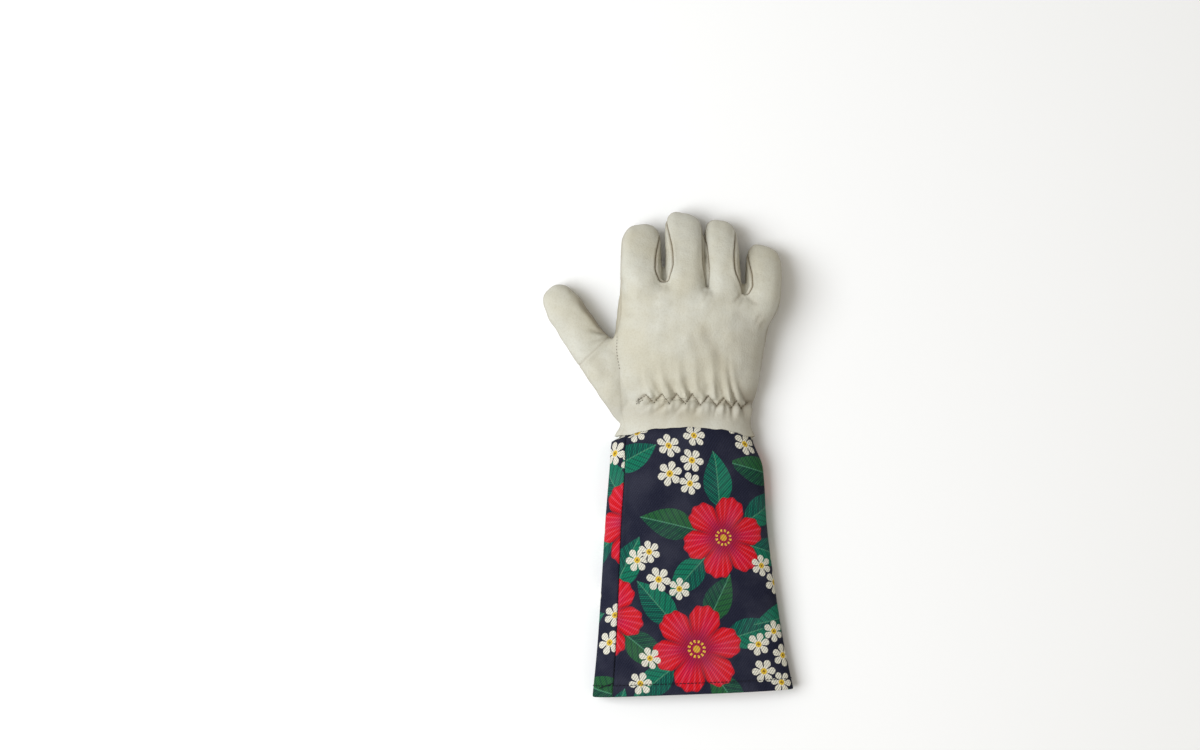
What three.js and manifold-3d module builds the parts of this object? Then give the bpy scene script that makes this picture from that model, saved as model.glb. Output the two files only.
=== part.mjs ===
// Right-hand rose pruning gauntlet, lying palm down on a flat surface. Millimetres.
// +Y runs from the cuff's mouth to the fingertips, +X to the little finger's side, +Z up.
// The leather hand is one hollow shell, cut along its seams into the panels that it is sewn from.
// The cuff is two cloth panels whose upper ends are tucked under the leather's wrist edge.

import * as THREE from "three";
import Module from "manifold-3d";

const wasm = await Module();
wasm.setup();

// Cuff
const cuffLength = 209.6;
const mouthWidth = 161;
const mouthHeight = 25;
const clothWall = 1.4;
const hemDepth = 8;
const cuffTuck = 7;
const mouthSkew = -3.2;

// Leather hand
const palmLength = 112;
const knuckleWidth = 124;
const knuckleHeight = 54;
const leatherWall = 2;
const wristArch = 8.2;
const knuckleSkew = 10;

// Elastic gather across the back of the wrist
const gatherCount = 7;
const gatherHeight = 3;
const gatherFromShare = -0.66;
const gatherToShare = 0.9;

// Fingers, thumb and the side strips between the fingers
const fingerWidth = 31;
const fingerDepth = 33;
const fingerReach = 70;
const fingerDrop = 26;
const fingerRise = 53;
const fingerSlant = 3;
const thumbWidth = 31.5;
const thumbDepth = 33;
const thumbLength = 125;
const thumbAngle = THREE.MathUtils.degToRad(34);
const forkWidth = 24;

// Clearances
const seamGap = 0.3;
const tuckGap = 0.5;

// Roundness of the cross sections: 2 is an ellipse, more is squarer.
const handRoundness = 2.3;
const cuffRoundness = 2.2;
const fingerRoundness = 2.15;

// The side seams of the cuff and the spacing of section points, as shares of half the width.
const seamShare = 0.8;
const edgeShares = [-1, -0.97, -0.9, -seamShare, -0.73];
const floorShares = [0.93, seamShare, 0.5, 0.17, -0.17, -0.5, -seamShare, -0.93];

// Sections of the palm, from the wrist edge to the knuckles. at is a share of the palm's length,
// left and right of the knuckle width, bottom and top of the knuckle height. sit is how much of the
// lower half is left where it lies flat, arch how far the middle is ahead of the ends and skew how
// far the left end is.
const palmRows = [
  { at: -0.037, left: -0.435, right: 0.458, bottom: 0, top: 0.65, sit: 0.75, arch: 1, skew: 0 },
  { at: 0.045, left: -0.423, right: 0.432, bottom: 0, top: 0.65, sit: 0.75, arch: 1, skew: 0 },
  { at: 0.12, left: -0.425, right: 0.43, bottom: 0, top: 0.65, sit: 0.75, arch: 0.8, skew: 0 },
  { at: 0.19, left: -0.43, right: 0.436, bottom: 0, top: 0.61, sit: 0.75, arch: 0.66, skew: 0 },
  { at: 0.25, left: -0.435, right: 0.456, bottom: 0, top: 0.66, sit: 0.75, arch: 0.5, skew: 0 },
  { at: 0.4, left: -0.443, right: 0.485, bottom: 0, top: 0.79, sit: 0.78, arch: 0.2, skew: 0 },
  { at: 0.58, left: -0.443, right: 0.512, bottom: 0, top: 0.9, sit: 0.84, arch: 0, skew: 0 },
  { at: 0.76, left: -0.437, right: 0.542, bottom: 0.04, top: 0.98, sit: 0.92, arch: 0, skew: 0.2 },
  { at: 0.88, left: -0.427, right: 0.563, bottom: 0.15, top: 1, sit: 1, arch: 0, skew: 0.7 },
  { at: 0.96, left: -0.41, right: 0.572, bottom: 0.26, top: 0.96, sit: 1, arch: 0, skew: 0.9 },
  { at: 1.03, left: -0.385, right: 0.565, bottom: 0.36, top: 0.85, sit: 1, arch: 0, skew: 1 },
];

// The folds at those same sections. gather is how full they are and shift how far along they lie, as
// a share of their pitch: the ridges below the elastic lie between the ridges above it.
const palmFolds = [
  { at: -0.037, gather: 0, shift: 0.5 },
  { at: 0.045, gather: 0.1, shift: 0.5 },
  { at: 0.12, gather: 1, shift: 0.5 },
  { at: 0.19, gather: 0.2, shift: 0 },
  { at: 0.25, gather: 1, shift: 0 },
  { at: 0.4, gather: 0.4, shift: 0 },
  { at: 0.58, gather: 0, shift: 0 },
  { at: 0.76, gather: 0, shift: 0 },
  { at: 0.88, gather: 0, shift: 0 },
  { at: 0.96, gather: 0, shift: 0 },
  { at: 1.03, gather: 0, shift: 0 },
];

// Sections of the cuff below the wrist edge. at is a share of the cuff's length, left, right of the
// mouth width, top of the mouth height.
const cuffRows = [
  { at: 0.04, left: -0.36, right: 0.36, top: 1.36, arch: 0.9, skew: 0 },
  { at: 0.14, left: -0.37, right: 0.394, top: 1.33, arch: 0.75, skew: 0.1 },
  { at: 0.36, left: -0.393, right: 0.414, top: 1.25, arch: 0.45, skew: 0.3 },
  { at: 0.6, left: -0.412, right: 0.454, top: 1.14, arch: 0.2, skew: 0.6 },
  { at: 0.8, left: -0.43, right: 0.494, top: 1.06, arch: 0.05, skew: 0.8 },
  { at: 1, left: -0.455, right: 0.547, top: 1, arch: 0, skew: 1 },
];

// The four fingers. place and tip are where the root and the tip lie across the hand, as shares of
// the knuckle width. start is a share of the palm's length, reach, width and depth are shares of the
// named finger sizes.
const fingers = [
  { name: "index", place: -0.277, tip: -0.275, start: 0.93, reach: 0.83, width: 1.05, depth: 1 },
  { name: "middle", place: 0.012, tip: -0.006, start: 0.92, reach: 1, width: 1, depth: 1 },
  { name: "ring", place: 0.27, tip: 0.23, start: 0.89, reach: 0.96, width: 0.87, depth: 0.96 },
  { name: "little", place: 0.49, tip: 0.52, start: 0.84, reach: 0.74, width: 0.93, depth: 0.9 },
];

// More of each finger's form: rise is a share of the named rise, root how wide the finger is at its
// root, slant how far the thumb's side of its tip is ahead.
const fingerForms = {
  index: { rise: 1, root: 1, slant: 0 },
  middle: { rise: 1, root: 1, slant: 0.8 },
  ring: { rise: 0.97, root: 1, slant: 0.7 },
  little: { rise: 0.9, root: 0.7, slant: 1.2 },
};

// Sections of a finger, as shares of its reach, width and depth.
const fingerRows = [
  { at: -0.22, width: 0.6, depth: 0.6 },
  { at: 0, width: 1, depth: 0.98 },
  { at: 0.24, width: 1.02, depth: 0.97 },
  { at: 0.47, width: 1.01, depth: 0.93 },
  { at: 0.67, width: 0.99, depth: 0.88 },
  { at: 0.82, width: 0.95, depth: 0.81 },
  { at: 0.92, width: 0.82, depth: 0.68 },
  { at: 0.98, width: 0.6, depth: 0.46 },
  { at: 1, width: 0.3, depth: 0.2 },
];

// Sections of the thumb, from the wrist corner to its tip, as shares of the named thumb sizes.
const thumbRows = [
  { at: 0.04, width: 1, depth: 0.5 },
  { at: 0.14, width: 1.25, depth: 0.75 },
  { at: 0.27, width: 1.32, depth: 0.97 },
  { at: 0.41, width: 1.2, depth: 1.05 },
  { at: 0.55, width: 1.02, depth: 1.02 },
  { at: 0.7, width: 0.98, depth: 0.96 },
  { at: 0.82, width: 0.97, depth: 0.88 },
  { at: 0.91, width: 0.84, depth: 0.74 },
  { at: 0.97, width: 0.58, depth: 0.5 },
  { at: 0.99, width: 0.28, depth: 0.22 },
];

const lerp = THREE.MathUtils.lerp;

// The triangles between neighbouring closed rings of equal count.
function skin(rings) {
  const count = rings[0].length;
  const faces = [];
  for (let r = 0; r + 1 < rings.length; r++) {
    for (let i = 0; i < count; i++) {
      const a = r * count + i;
      const b = r * count + ((i + 1) % count);
      faces.push(a, b, b + count, a, b + count, a + count);
    }
  }
  return faces;
}

// A closed solid through rings of equal count, its ends closed by fans round their centres.
function loft(rings) {
  const count = rings[0].length;
  const points = rings.flat();
  const faces = skin(rings);
  for (const [r, turn] of [[0, 1], [rings.length - 1, 0]]) {
    const middle = rings[r].reduce((sum, p) => sum.add(p), new THREE.Vector3());
    const centre = points.push(middle.divideScalar(count)) - 1;
    for (let i = 0; i < count; i++) {
      const ends = [r * count + i, r * count + ((i + 1) % count)];
      faces.push(centre, ends[turn], ends[1 - turn]);
    }
  }
  return solid(points, faces);
}

// A solid from points and triangle corners, turned the right way out.
function solid(points, faces) {
  const vertProperties = new Float32Array(points.flatMap((p) => [p.x, p.y, p.z]));
  const triVerts = new Uint32Array(faces);
  const made = new wasm.Manifold(new wasm.Mesh({ numProp: 3, vertProperties, triVerts }));
  if (made.volume() > 0) return made;
  for (let i = 0; i < triVerts.length; i += 3) {
    [triVerts[i + 1], triVerts[i + 2]] = [triVerts[i + 2], triVerts[i + 1]];
  }
  return new wasm.Manifold(new wasm.Mesh({ numProp: 3, vertProperties, triVerts }));
}

// A prism over a plan outline of [x, y] corners, between two heights.
function prism(corners, low, high) {
  const shape = new THREE.Shape(corners.map(([x, y]) => new THREE.Vector2(x, y)));
  const { shape: outline } = shape.extractPoints(1);
  const caps = THREE.ShapeUtils.triangulateShape(outline, []);
  const count = outline.length;
  const points = [low, high].flatMap((z) => outline.map((p) => new THREE.Vector3(p.x, p.y, z)));
  const faces = caps.flatMap(([a, b, c]) => [a, c, b, a + count, b + count, c + count]);
  for (let i = 0; i < count; i++) {
    const next = (i + 1) % count;
    faces.push(i, next, next + count, i, next + count, i + count);
  }
  return solid(points, faces);
}

// Upper or lower half height of a rounded section at a share of its half width.
function bulge(share, roundness) {
  return (1 - Math.abs(share) ** roundness) ** (1 / roundness);
}

// A point of a flattened section: left, right, bottom and top in millimetres, share from -1 to 1
// across it, side 1 for its upper half and -1 for its lower half.
function sectionPoint(section, share, side, roundness) {
  const half = (section.right - section.left) / 2;
  const depth = (section.top - section.bottom) / (1 + section.sit);
  const middle = section.top - depth;
  const x = section.left + half * (1 + share);
  const y = section.y + section.arch * (1 - share ** 2) - section.skew * share;
  const z = Math.max(middle + side * depth * bulge(share, roundness), section.bottom);
  return new THREE.Vector3(x, y, z);
}

function inset(section, wall) {
  return {
    ...section,
    left: section.left + wall,
    right: section.right - wall,
    bottom: section.bottom + wall,
    top: section.top - wall,
  };
}

// Where a section has its points: across the top from the left edge, then back along the bottom.
const gatherShares = Array.from(
  { length: 2 * gatherCount + 1 },
  (_, i) => lerp(gatherFromShare, gatherToShare, i / (2 * gatherCount)),
);
const topShares = [...edgeShares, ...gatherShares, 0.96, 1];
const ringPlaces = [
  ...topShares.map((share) => ({ share, side: 1 })),
  ...floorShares.map((share) => ({ share, side: -1 })),
];

// A palm section in millimetres.
function palmSection(row, i) {
  return {
    y: row.at * palmLength,
    left: row.left * knuckleWidth,
    right: row.right * knuckleWidth,
    bottom: row.bottom * knuckleHeight,
    top: row.top * knuckleHeight,
    sit: row.sit,
    arch: row.arch * wristArch,
    skew: row.skew * knuckleSkew,
    gather: palmFolds[i].gather * gatherHeight,
    shift: palmFolds[i].shift,
  };
}

// The palm's section at any height above the wrist, read between the rows of the table.
function palmSectionAt(y) {
  const sections = palmRows.map(palmSection);
  const upper = sections.findIndex((s) => s.y >= y);
  if (upper === 0) return { ...sections[0], y };
  if (upper < 0) return { ...sections[sections.length - 1], y };
  const [a, b] = [sections[upper - 1], sections[upper]];
  const share = (y - a.y) / (b.y - a.y);
  return Object.fromEntries(Object.keys(a).map((key) => [key, lerp(a[key], b[key], share)]));
}

// Height of the side seam of the palm, where the back and the palm panels meet.
function palmSeamHeight(y) {
  const s = palmSectionAt(y);
  return s.top - (s.top - s.bottom) / (1 + s.sit);
}

// The fold height at a place across the back: full on each ridge, none in each valley. shift moves
// the ridges along by a share of their pitch.
function foldShare(share, shift) {
  const turn = ((share - gatherFromShare) * gatherCount) / (gatherToShare - gatherFromShare) - shift;
  return turn < 0 || turn > gatherCount - 2 * shift ? 0 : 0.5 - 0.5 * Math.cos(2 * Math.PI * turn);
}

function palmRing(section) {
  return ringPlaces.map(({ share, side }) => {
    const point = sectionPoint(section, share, side, handRoundness);
    if (side > 0) point.z += section.gather * foldShare(share, section.shift);
    return point;
  });
}

function palmOuter() {
  return loft(palmRows.map(palmSection).map(palmRing));
}

// The hollow of the palm runs out through the wrist and stops a wall short of the knuckles.
function palmHollow() {
  const sections = palmRows.map(palmSection);
  const first = { ...sections[0], y: sections[0].y - cuffTuck };
  const last = sections[sections.length - 1];
  last.y -= leatherWall;
  return loft([first, ...sections].map((s) => palmRing({ ...inset(s, leatherWall), gather: 0 })));
}

// A finger's centre line: straight in plan, level at the root and curling down to the surface.
function fingerLine(finger) {
  const startY = finger.start * palmLength;
  const reach = finger.reach * fingerReach;
  const rootX = finger.place * knuckleWidth;
  const lean = ((finger.tip - finger.place) * knuckleWidth) / reach;
  const rootZ = fingerForms[finger.name].rise * fingerRise - (finger.depth * fingerDepth) / 2;
  return {
    reach,
    startY,
    x: (y) => rootX + lean * (y - startY),
    z: (y) => rootZ - fingerDrop * Math.max(0, (y - startY) / reach) ** 2,
    slope: (y) => (-2 * fingerDrop * Math.max(0, y - startY)) / reach ** 2,
    lean,
  };
}

// A finger as a tube of oval sections square to its centre line, flattened where it rests.
function fingerTube(finger, wall) {
  const line = fingerLine(finger);
  const sides = wall ? 12 : 16;
  const rings = fingerRows.map((row) => {
    const y = line.startY + row.at * line.reach;
    const along = new THREE.Vector3(line.lean, 1, line.slope(y)).normalize();
    const across = new THREE.Vector3(1, -line.lean, 0).normalize();
    const up = new THREE.Vector3().crossVectors(across, along);
    const form = fingerForms[finger.name];
    const narrow = row.at > 0 ? 1 : form.root;
    const halfWidth = (narrow * row.width * finger.width * fingerWidth) / 2;
    const halfDepth = (row.depth * finger.depth * fingerDepth) / 2;
    const centre = new THREE.Vector3(line.x(y), y, line.z(y));
    centre.addScaledVector(along, row.at > 0.5 ? -wall : 0);
    const slanted = across.clone().multiplyScalar(halfWidth);
    slanted.addScaledVector(along, -form.slant * fingerSlant * Math.max(0, row.at) ** 2);
    return ovalRing(centre, slanted.normalize(), up, halfWidth, halfDepth, wall, sides);
  });
  return loft(rings);
}

// Points round an oval of the given half sizes less the wall, none lower than the wall.
function ovalRing(centre, across, up, halfWidth, halfDepth, wall, sides) {
  const wide = Math.max(halfWidth - wall, halfWidth / 3);
  const deep = Math.max(halfDepth - wall, halfDepth / 3);
  return Array.from({ length: sides }, (_, i) => {
    const angle = (2 * Math.PI * (i + 0.5)) / sides;
    const [c, s] = [Math.cos(angle), Math.sin(angle)];
    const power = 2 / fingerRoundness;
    const point = centre.clone();
    point.addScaledVector(across, wide * Math.sign(c) * Math.abs(c) ** power);
    point.addScaledVector(up, deep * Math.sign(s) * Math.abs(s) ** power);
    point.z = Math.max(point.z, wall);
    return point;
  });
}

// The thumb's outer edge is a straight line from the wrist corner, at the thumb's angle.
const thumbAlong = new THREE.Vector3(-Math.sin(thumbAngle), Math.cos(thumbAngle), 0);
const thumbAcross = new THREE.Vector3(Math.cos(thumbAngle), Math.sin(thumbAngle), 0);
const wristCorner = new THREE.Vector3(-0.41 * knuckleWidth, 0.036 * palmLength, 0);

function thumbTube(wall) {
  const up = new THREE.Vector3(0, 0, 1);
  const sides = wall ? 12 : 16;
  const rings = thumbRows.map((row) => {
    const width = row.width * thumbWidth;
    const depth = row.depth * thumbDepth;
    const centre = wristCorner.clone();
    centre.addScaledVector(thumbAlong, row.at * thumbLength - (row.at > 0.5 ? wall : 0));
    centre.addScaledVector(thumbAcross, Math.max(width, thumbWidth) / 2);
    centre.z = 0.46 * thumbDepth * (1 - 0.15 * row.at ** 2);
    return ovalRing(centre, thumbAcross, up, width / 2, depth / 2, wall, sides);
  });
  return loft(rings);
}

// The whole leather hand as one shell, open at the wrist.
function handShell() {
  const outer = [palmOuter(), thumbTube(0), ...fingers.map((f) => fingerTube(f, 0))];
  const hollow = [palmHollow(), thumbTube(leatherWall), ...fingers.map((f) => fingerTube(f, leatherWall))];
  return outer.reduce((a, b) => a.add(b)).subtract(hollow.reduce((a, b) => a.add(b)));
}

// Half the width of the side strip along a finger: narrow at the crotch, full beyond it and closing
// towards the tip.
function forkHalf(finger, y) {
  const line = fingerLine(finger);
  const at = (y - line.startY) / line.reach;
  const opening = 0.5 + 0.5 * THREE.MathUtils.smoothstep(at, 0.15, 0.5);
  const fade = THREE.MathUtils.clamp((at - 0.35) / 0.5, 0, 1);
  return (forkWidth / 2) * opening * Math.sqrt(1 - fade ** 2);
}

// Height of a finger's side seam: the palm's seam, which climbs to the middle of the finger.
function seamHeight(line, y) {
  const climb = THREE.MathUtils.smoothstep(y, 0.6 * palmLength, line.startY);
  return lerp(palmSeamHeight(y), line.z(y), climb);
}

// The gap between two neighbouring fingers, in plan.
function gapCentre(left, right, y) {
  const [a, b] = [fingerLine(left), fingerLine(right)];
  return (a.x(y) + (left.width * fingerWidth) / 2 + b.x(y) - (right.width * fingerWidth) / 2) / 2;
}

// The seam between the back and the thumb side runs up the back to the thumb's crotch, as places
// along the palm and across it, then leaves over the index finger's side.
const backSeam = [
  { at: -0.3, across: -0.395 },
  { at: 0.05, across: -0.395 },
  { at: 0.45, across: -0.416 },
  { at: 0.6, across: -0.437 },
  { at: 0.72, across: -0.43 },
  { at: 0.78, across: -0.7 },
  { at: 3, across: -0.7 },
];

function backSeamX(y) {
  const share = y / palmLength;
  const upper = backSeam.findIndex((p) => p.at >= share);
  const [a, b] = [backSeam[upper - 1], backSeam[upper]];
  return lerp(a.across, b.across, (share - a.at) / (b.at - a.at)) * knuckleWidth;
}

// Everything above the seams of the back panel, as one solid. forks is 1 for the upper edges of
// the side strips and -1 for their lower edges, and clear moves every seam outward.
function aboveSeams(forks, clear) {
  const ends = [-0.25 * palmLength, palmLength + 1.4 * fingerReach];
  const rowCount = 34;
  const ceiling = 2 * knuckleHeight;
  const stepHalf = 0.4;
  const lines = fingers.map(fingerLine);
  const rings = [];
  for (let r = 0; r <= rowCount; r++) {
    const y = lerp(ends[0], ends[1], r / rowCount);
    const seam = (i, hasFork) => {
      const level = seamHeight(lines[i], y);
      const fork = hasFork && y > 0.8 * palmLength ? forkHalf(fingers[i], y) : 0;
      return level + forks * Math.max(fork, 0) - clear;
    };
    const edge = [[backSeamX(y) - clear, seam(0, false)]];
    fingers.forEach((finger, i) => {
      const centre = lines[i].x(y);
      edge.push([centre - 1, seam(i, i > 0)], [centre + 1, seam(i, i < 3)]);
      if (i === 3) return;
      const gap = gapCentre(finger, fingers[i + 1], y);
      edge.push([gap - stepHalf, seam(i, true)], [gap + stepHalf, seam(i + 1, true)]);
    });
    edge.push([knuckleWidth, seam(3, false)], [knuckleWidth, ceiling], [backSeamX(y) - clear, ceiling]);
    rings.push(edge.map(([x, z]) => new THREE.Vector3(x, y, z)));
  }
  return loftAcross(rings);
}

// A closed solid through rings that each lie square to Y and needn't be convex.
function loftAcross(rings) {
  const count = rings[0].length;
  const faces = skin(rings);
  [0, rings.length - 1].forEach((r, last) => {
    const flat = rings[r].map((p) => new THREE.Vector2(p.x, p.z));
    for (const [a, b, c] of THREE.ShapeUtils.triangulateShape(flat, [])) {
      const corners = [a, b, c].map((k) => k + r * count);
      faces.push(...(last ? corners : corners.reverse()));
    }
  });
  return solid(rings.flat(), faces);
}

// The plan of the strip from one finger's centre line to the next one's.
function betweenFingers(left, right) {
  const [a, b] = [fingerLine(left), fingerLine(right)];
  const ends = [0.8 * palmLength, palmLength + 1.4 * fingerReach];
  const corners = [
    [a.x(ends[0]), ends[0]],
    [b.x(ends[0]), ends[0]],
    [b.x(ends[1]), ends[1]],
    [a.x(ends[1]), ends[1]],
  ];
  return prism(corners, -1, 2 * knuckleHeight);
}

// Everything beyond the thumb's base seam, which runs from the thumb's crotch to its outer edge.
function beyondThumbSeam(clear) {
  const crotch = new THREE.Vector3(-0.455 * knuckleWidth, 0.71 * palmLength, 0);
  const outward = new THREE.Vector3(-0.724, -0.69, 0);
  const inward = crotch.clone().addScaledVector(thumbAlong, -clear);
  const far = inward.clone().addScaledVector(outward, 2 * thumbWidth);
  const top = palmLength + fingerReach;
  const corners = [
    [inward.x + clear, inward.y],
    [inward.x + clear, top],
    [far.x - thumbLength, top],
    [far.x, far.y],
  ];
  return prism(corners, -1, 2 * knuckleHeight);
}

// The palm side of the middle and ring fingers beyond the seam across their roots.
function beyondRootSeam(leftGap, rightGap, clear) {
  const seamY = (x) => (1.015 - 0.17 * (x / palmLength)) * palmLength - clear;
  const top = palmLength + 1.4 * fingerReach;
  const [a, b] = [(y) => gapCentre(...leftGap, y), (y) => gapCentre(...rightGap, y)];
  const corners = [
    [a(palmLength) - clear, seamY(a(palmLength))],
    [b(palmLength) + clear, seamY(b(palmLength))],
    [b(top) + clear, top],
    [a(top) - clear, top],
  ];
  return prism(corners, -1, 2 * knuckleHeight);
}

// The largest body of a cut, without the crumbs that a knife leaves where two seams cross.
function mainBody(cut) {
  return cut.decompose().sort((a, b) => b.volume() - a.volume())[0];
}

// The leather panels, by name.
function leatherPanels() {
  const shell = handShell();
  const thumb = shell.intersect(beyondThumbSeam(0));
  const hand = shell.subtract(beyondThumbSeam(seamGap));
  const back = hand.intersect(aboveSeams(1, 0));
  const lower = hand.subtract(aboveSeams(-1, seamGap));
  const [index, middle, ring, little] = fingers;
  const gaps = [[index, middle], [middle, ring], [ring, little]];
  const fronts = [
    ["middle_front", beyondRootSeam(gaps[0], gaps[1], 0)],
    ["ring_front", beyondRootSeam(gaps[1], gaps[2], 0)],
  ];
  const palm = lower.subtract(beyondRootSeam(gaps[0], gaps[2], seamGap));
  const strip = hand.intersect(aboveSeams(-1, -seamGap)).subtract(aboveSeams(1, seamGap));
  return [
    ["hand_back", back],
    ["hand_palm", palm],
    ["thumb", thumb],
    ...fronts.map(([name, region]) => [name, lower.intersect(region)]),
    ...gaps.map(([a, b]) => [`fork_${a.name}_${b.name}`, strip.intersect(betweenFingers(a, b))]),
  ].map(([name, cut]) => [name, mainBody(cut)]);
}

// The cuff's sections, from the tucked end to the mouth, each with its wall.
function cuffSections() {
  const wristY = palmRows[0].at * palmLength;
  const tucked = [wristY + cuffTuck, wristY].map((y) => ({
    ...inset(palmSectionAt(y), leatherWall + tuckGap),
    y,
    arch: wristArch,
    skew: 0,
    wall: clothWall,
  }));
  const open = cuffRows.map((row) => ({
    y: -row.at * cuffLength,
    left: row.left * mouthWidth,
    right: row.right * mouthWidth,
    bottom: 0,
    top: row.top * mouthHeight,
    sit: 0.75,
    arch: row.arch * wristArch,
    skew: row.skew * mouthSkew,
    wall: clothWall,
  }));
  const mouth = open.pop();
  const before = open[open.length - 1];
  const between = (rise) => {
    const share = rise / (before.y - mouth.y);
    return Object.fromEntries(Object.keys(mouth).map((key) => [key, lerp(mouth[key], before[key], share)]));
  };
  const folded = { wall: 2 * clothWall };
  return [
    ...tucked,
    ...open,
    between(hemDepth + 1),
    { ...between(hemDepth), ...folded },
    { ...mouth, ...folded },
  ];
}

// One cloth panel of the cuff: the stretch of each section between two of its places.
function cuffPanel(places) {
  const sections = cuffSections();
  const grid = (insetBy) =>
    sections.map((s) =>
      places.map(({ share, side, shift = 0 }) => {
        const half = (s.right - s.left) / 2;
        return sectionPoint(inset(s, insetBy(s)), share + shift / half, side, cuffRoundness);
      }),
    );
  const outer = grid(() => 0);
  const inner = grid((s) => s.wall);
  return thickSheet(outer, inner);
}

// A closed solid between two grids of points of equal size.
function thickSheet(outer, inner) {
  const rings = outer.map((row, r) => [...row, ...inner[r].slice().reverse()]);
  const count = rings[0].length;
  const faces = skin(rings);
  [0, rings.length - 1].forEach((r, last) => {
    for (let i = 0; i + 1 < count / 2; i++) {
      const [a, b, c, d] = [i, i + 1, count - 2 - i, count - 1 - i].map((k) => k + r * count);
      const quad = [a, b, c, a, c, d];
      faces.push(...(last ? quad : quad.reverse()));
    }
  });
  return solid(rings.flat(), faces);
}

// The two cloth panels. Their seams lie on the back near the thumb's side and underneath near the
// little finger's side, so each panel turns round one edge of the cuff.
function cuffPanels() {
  const isBackSeam = ({ share, side }) => side > 0 && share === -seamShare;
  const isPalmSeam = ({ share, side }) => side < 0 && share === seamShare;
  const start = ringPlaces.findIndex(isBackSeam);
  const end = ringPlaces.findIndex(isPalmSeam);
  const cutBack = (shift) => ({ ...ringPlaces[start], shift });
  const cutPalm = (shift) => ({ ...ringPlaces[end], shift });
  const half = seamGap / 2;
  const upper = [cutBack(half), ...ringPlaces.slice(start + 1, end), cutPalm(half)];
  const rest = [...ringPlaces.slice(end + 1), ...ringPlaces.slice(0, start)];
  const lower = [cutPalm(-half), ...rest, cutBack(-half)];
  return [
    ["cuff_back", cuffPanel(upper)],
    ["cuff_palm", cuffPanel(lower)],
  ];
}

const leather = { color: 0xd3cfbe, roughness: 0.62, metalness: 0 };
const cloth = { color: 0x24263a, roughness: 0.85, metalness: 0 };

// A named mesh from a solid.
function meshOf(name, made, finish) {
  const { vertProperties, triVerts } = made.getMesh();
  const geometry = new THREE.BufferGeometry();
  geometry.setAttribute("position", new THREE.BufferAttribute(vertProperties, 3));
  geometry.setIndex(new THREE.BufferAttribute(triVerts, 1));
  geometry.computeVertexNormals();
  const mesh = new THREE.Mesh(geometry, new THREE.MeshStandardMaterial(finish));
  mesh.name = name;
  return mesh;
}

const gauntlet = new THREE.Group();
for (const [name, made] of leatherPanels()) gauntlet.add(meshOf(name, made, leather));
for (const [name, made] of cuffPanels()) gauntlet.add(meshOf(name, made, cloth));

// The origin is the middle of the footprint, on the surface that the glove lies on.
const box = new THREE.Box3().setFromObject(gauntlet);
const middle = box.getCenter(new THREE.Vector3());
gauntlet.position.set(-middle.x, -middle.y, -box.min.z);

export default gauntlet;
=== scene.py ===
import math

import bpy
import numpy as np
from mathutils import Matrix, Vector
from mathutils.bvhtree import BVHTree
from mathutils.kdtree import KDTree


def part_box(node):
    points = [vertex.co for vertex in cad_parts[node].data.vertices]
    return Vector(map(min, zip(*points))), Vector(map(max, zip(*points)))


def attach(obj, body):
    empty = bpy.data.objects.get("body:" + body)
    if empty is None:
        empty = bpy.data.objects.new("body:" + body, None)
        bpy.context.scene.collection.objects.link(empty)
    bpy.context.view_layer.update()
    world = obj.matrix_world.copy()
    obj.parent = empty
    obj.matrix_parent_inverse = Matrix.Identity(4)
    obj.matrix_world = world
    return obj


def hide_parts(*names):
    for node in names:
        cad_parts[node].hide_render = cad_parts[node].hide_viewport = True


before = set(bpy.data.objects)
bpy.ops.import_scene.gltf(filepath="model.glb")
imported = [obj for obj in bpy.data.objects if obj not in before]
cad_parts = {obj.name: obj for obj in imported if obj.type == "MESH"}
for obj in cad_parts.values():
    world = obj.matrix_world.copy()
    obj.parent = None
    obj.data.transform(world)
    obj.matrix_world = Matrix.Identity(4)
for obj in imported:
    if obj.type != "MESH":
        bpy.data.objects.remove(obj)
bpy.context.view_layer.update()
scene = bpy.context.scene

# Sizes of the glove in millimetres, as in the part's source
CUFF_LENGTH = 209.6
MOUTH_WIDTH = 161
MOUTH_HEIGHT = 25
CLOTH_WALL = 1.4
HEM_DEPTH = 8
HEM_STITCH = 9
CUFF_TUCK = 7
MOUTH_SKEW = -3.2
PALM_LENGTH = 112
KNUCKLE_WIDTH = 124
KNUCKLE_HEIGHT = 54
LEATHER_WALL = 2
WRIST_ARCH = 8.2
KNUCKLE_SKEW = 10
GATHER_HEIGHT = 3
FINGER_WIDTH = 31
FINGER_DEPTH = 33
FINGER_REACH = 70
FINGER_DROP = 26
FINGER_RISE = 53
FINGER_SLANT = 3
THUMB_WIDTH = 31.5
THUMB_DEPTH = 33
THUMB_LENGTH = 125
THUMB_ANGLE = math.radians(34)
FORK_WIDTH = 24
TUCK_GAP = 0.5
HAND_ROUNDNESS = 2.3
CUFF_ROUNDNESS = 2.2
FINGER_ROUNDNESS = 2.6
THUMB_ROUNDNESS = 3
SIDE_SEAM = 0.8
SEAM_SLIT = 0.003
RIM_ANGLE = math.radians(62)
WRIST_Y = -0.037 * PALM_LENGTH
FULL_TURN = 2 * math.pi

# The skin's remesh: its voxel in millimetres and the rounds that ease the finger roots and the back
VOXEL = 1.2
ROOT_ROUNDS = 50
BACK_ROUNDS = 260

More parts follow.
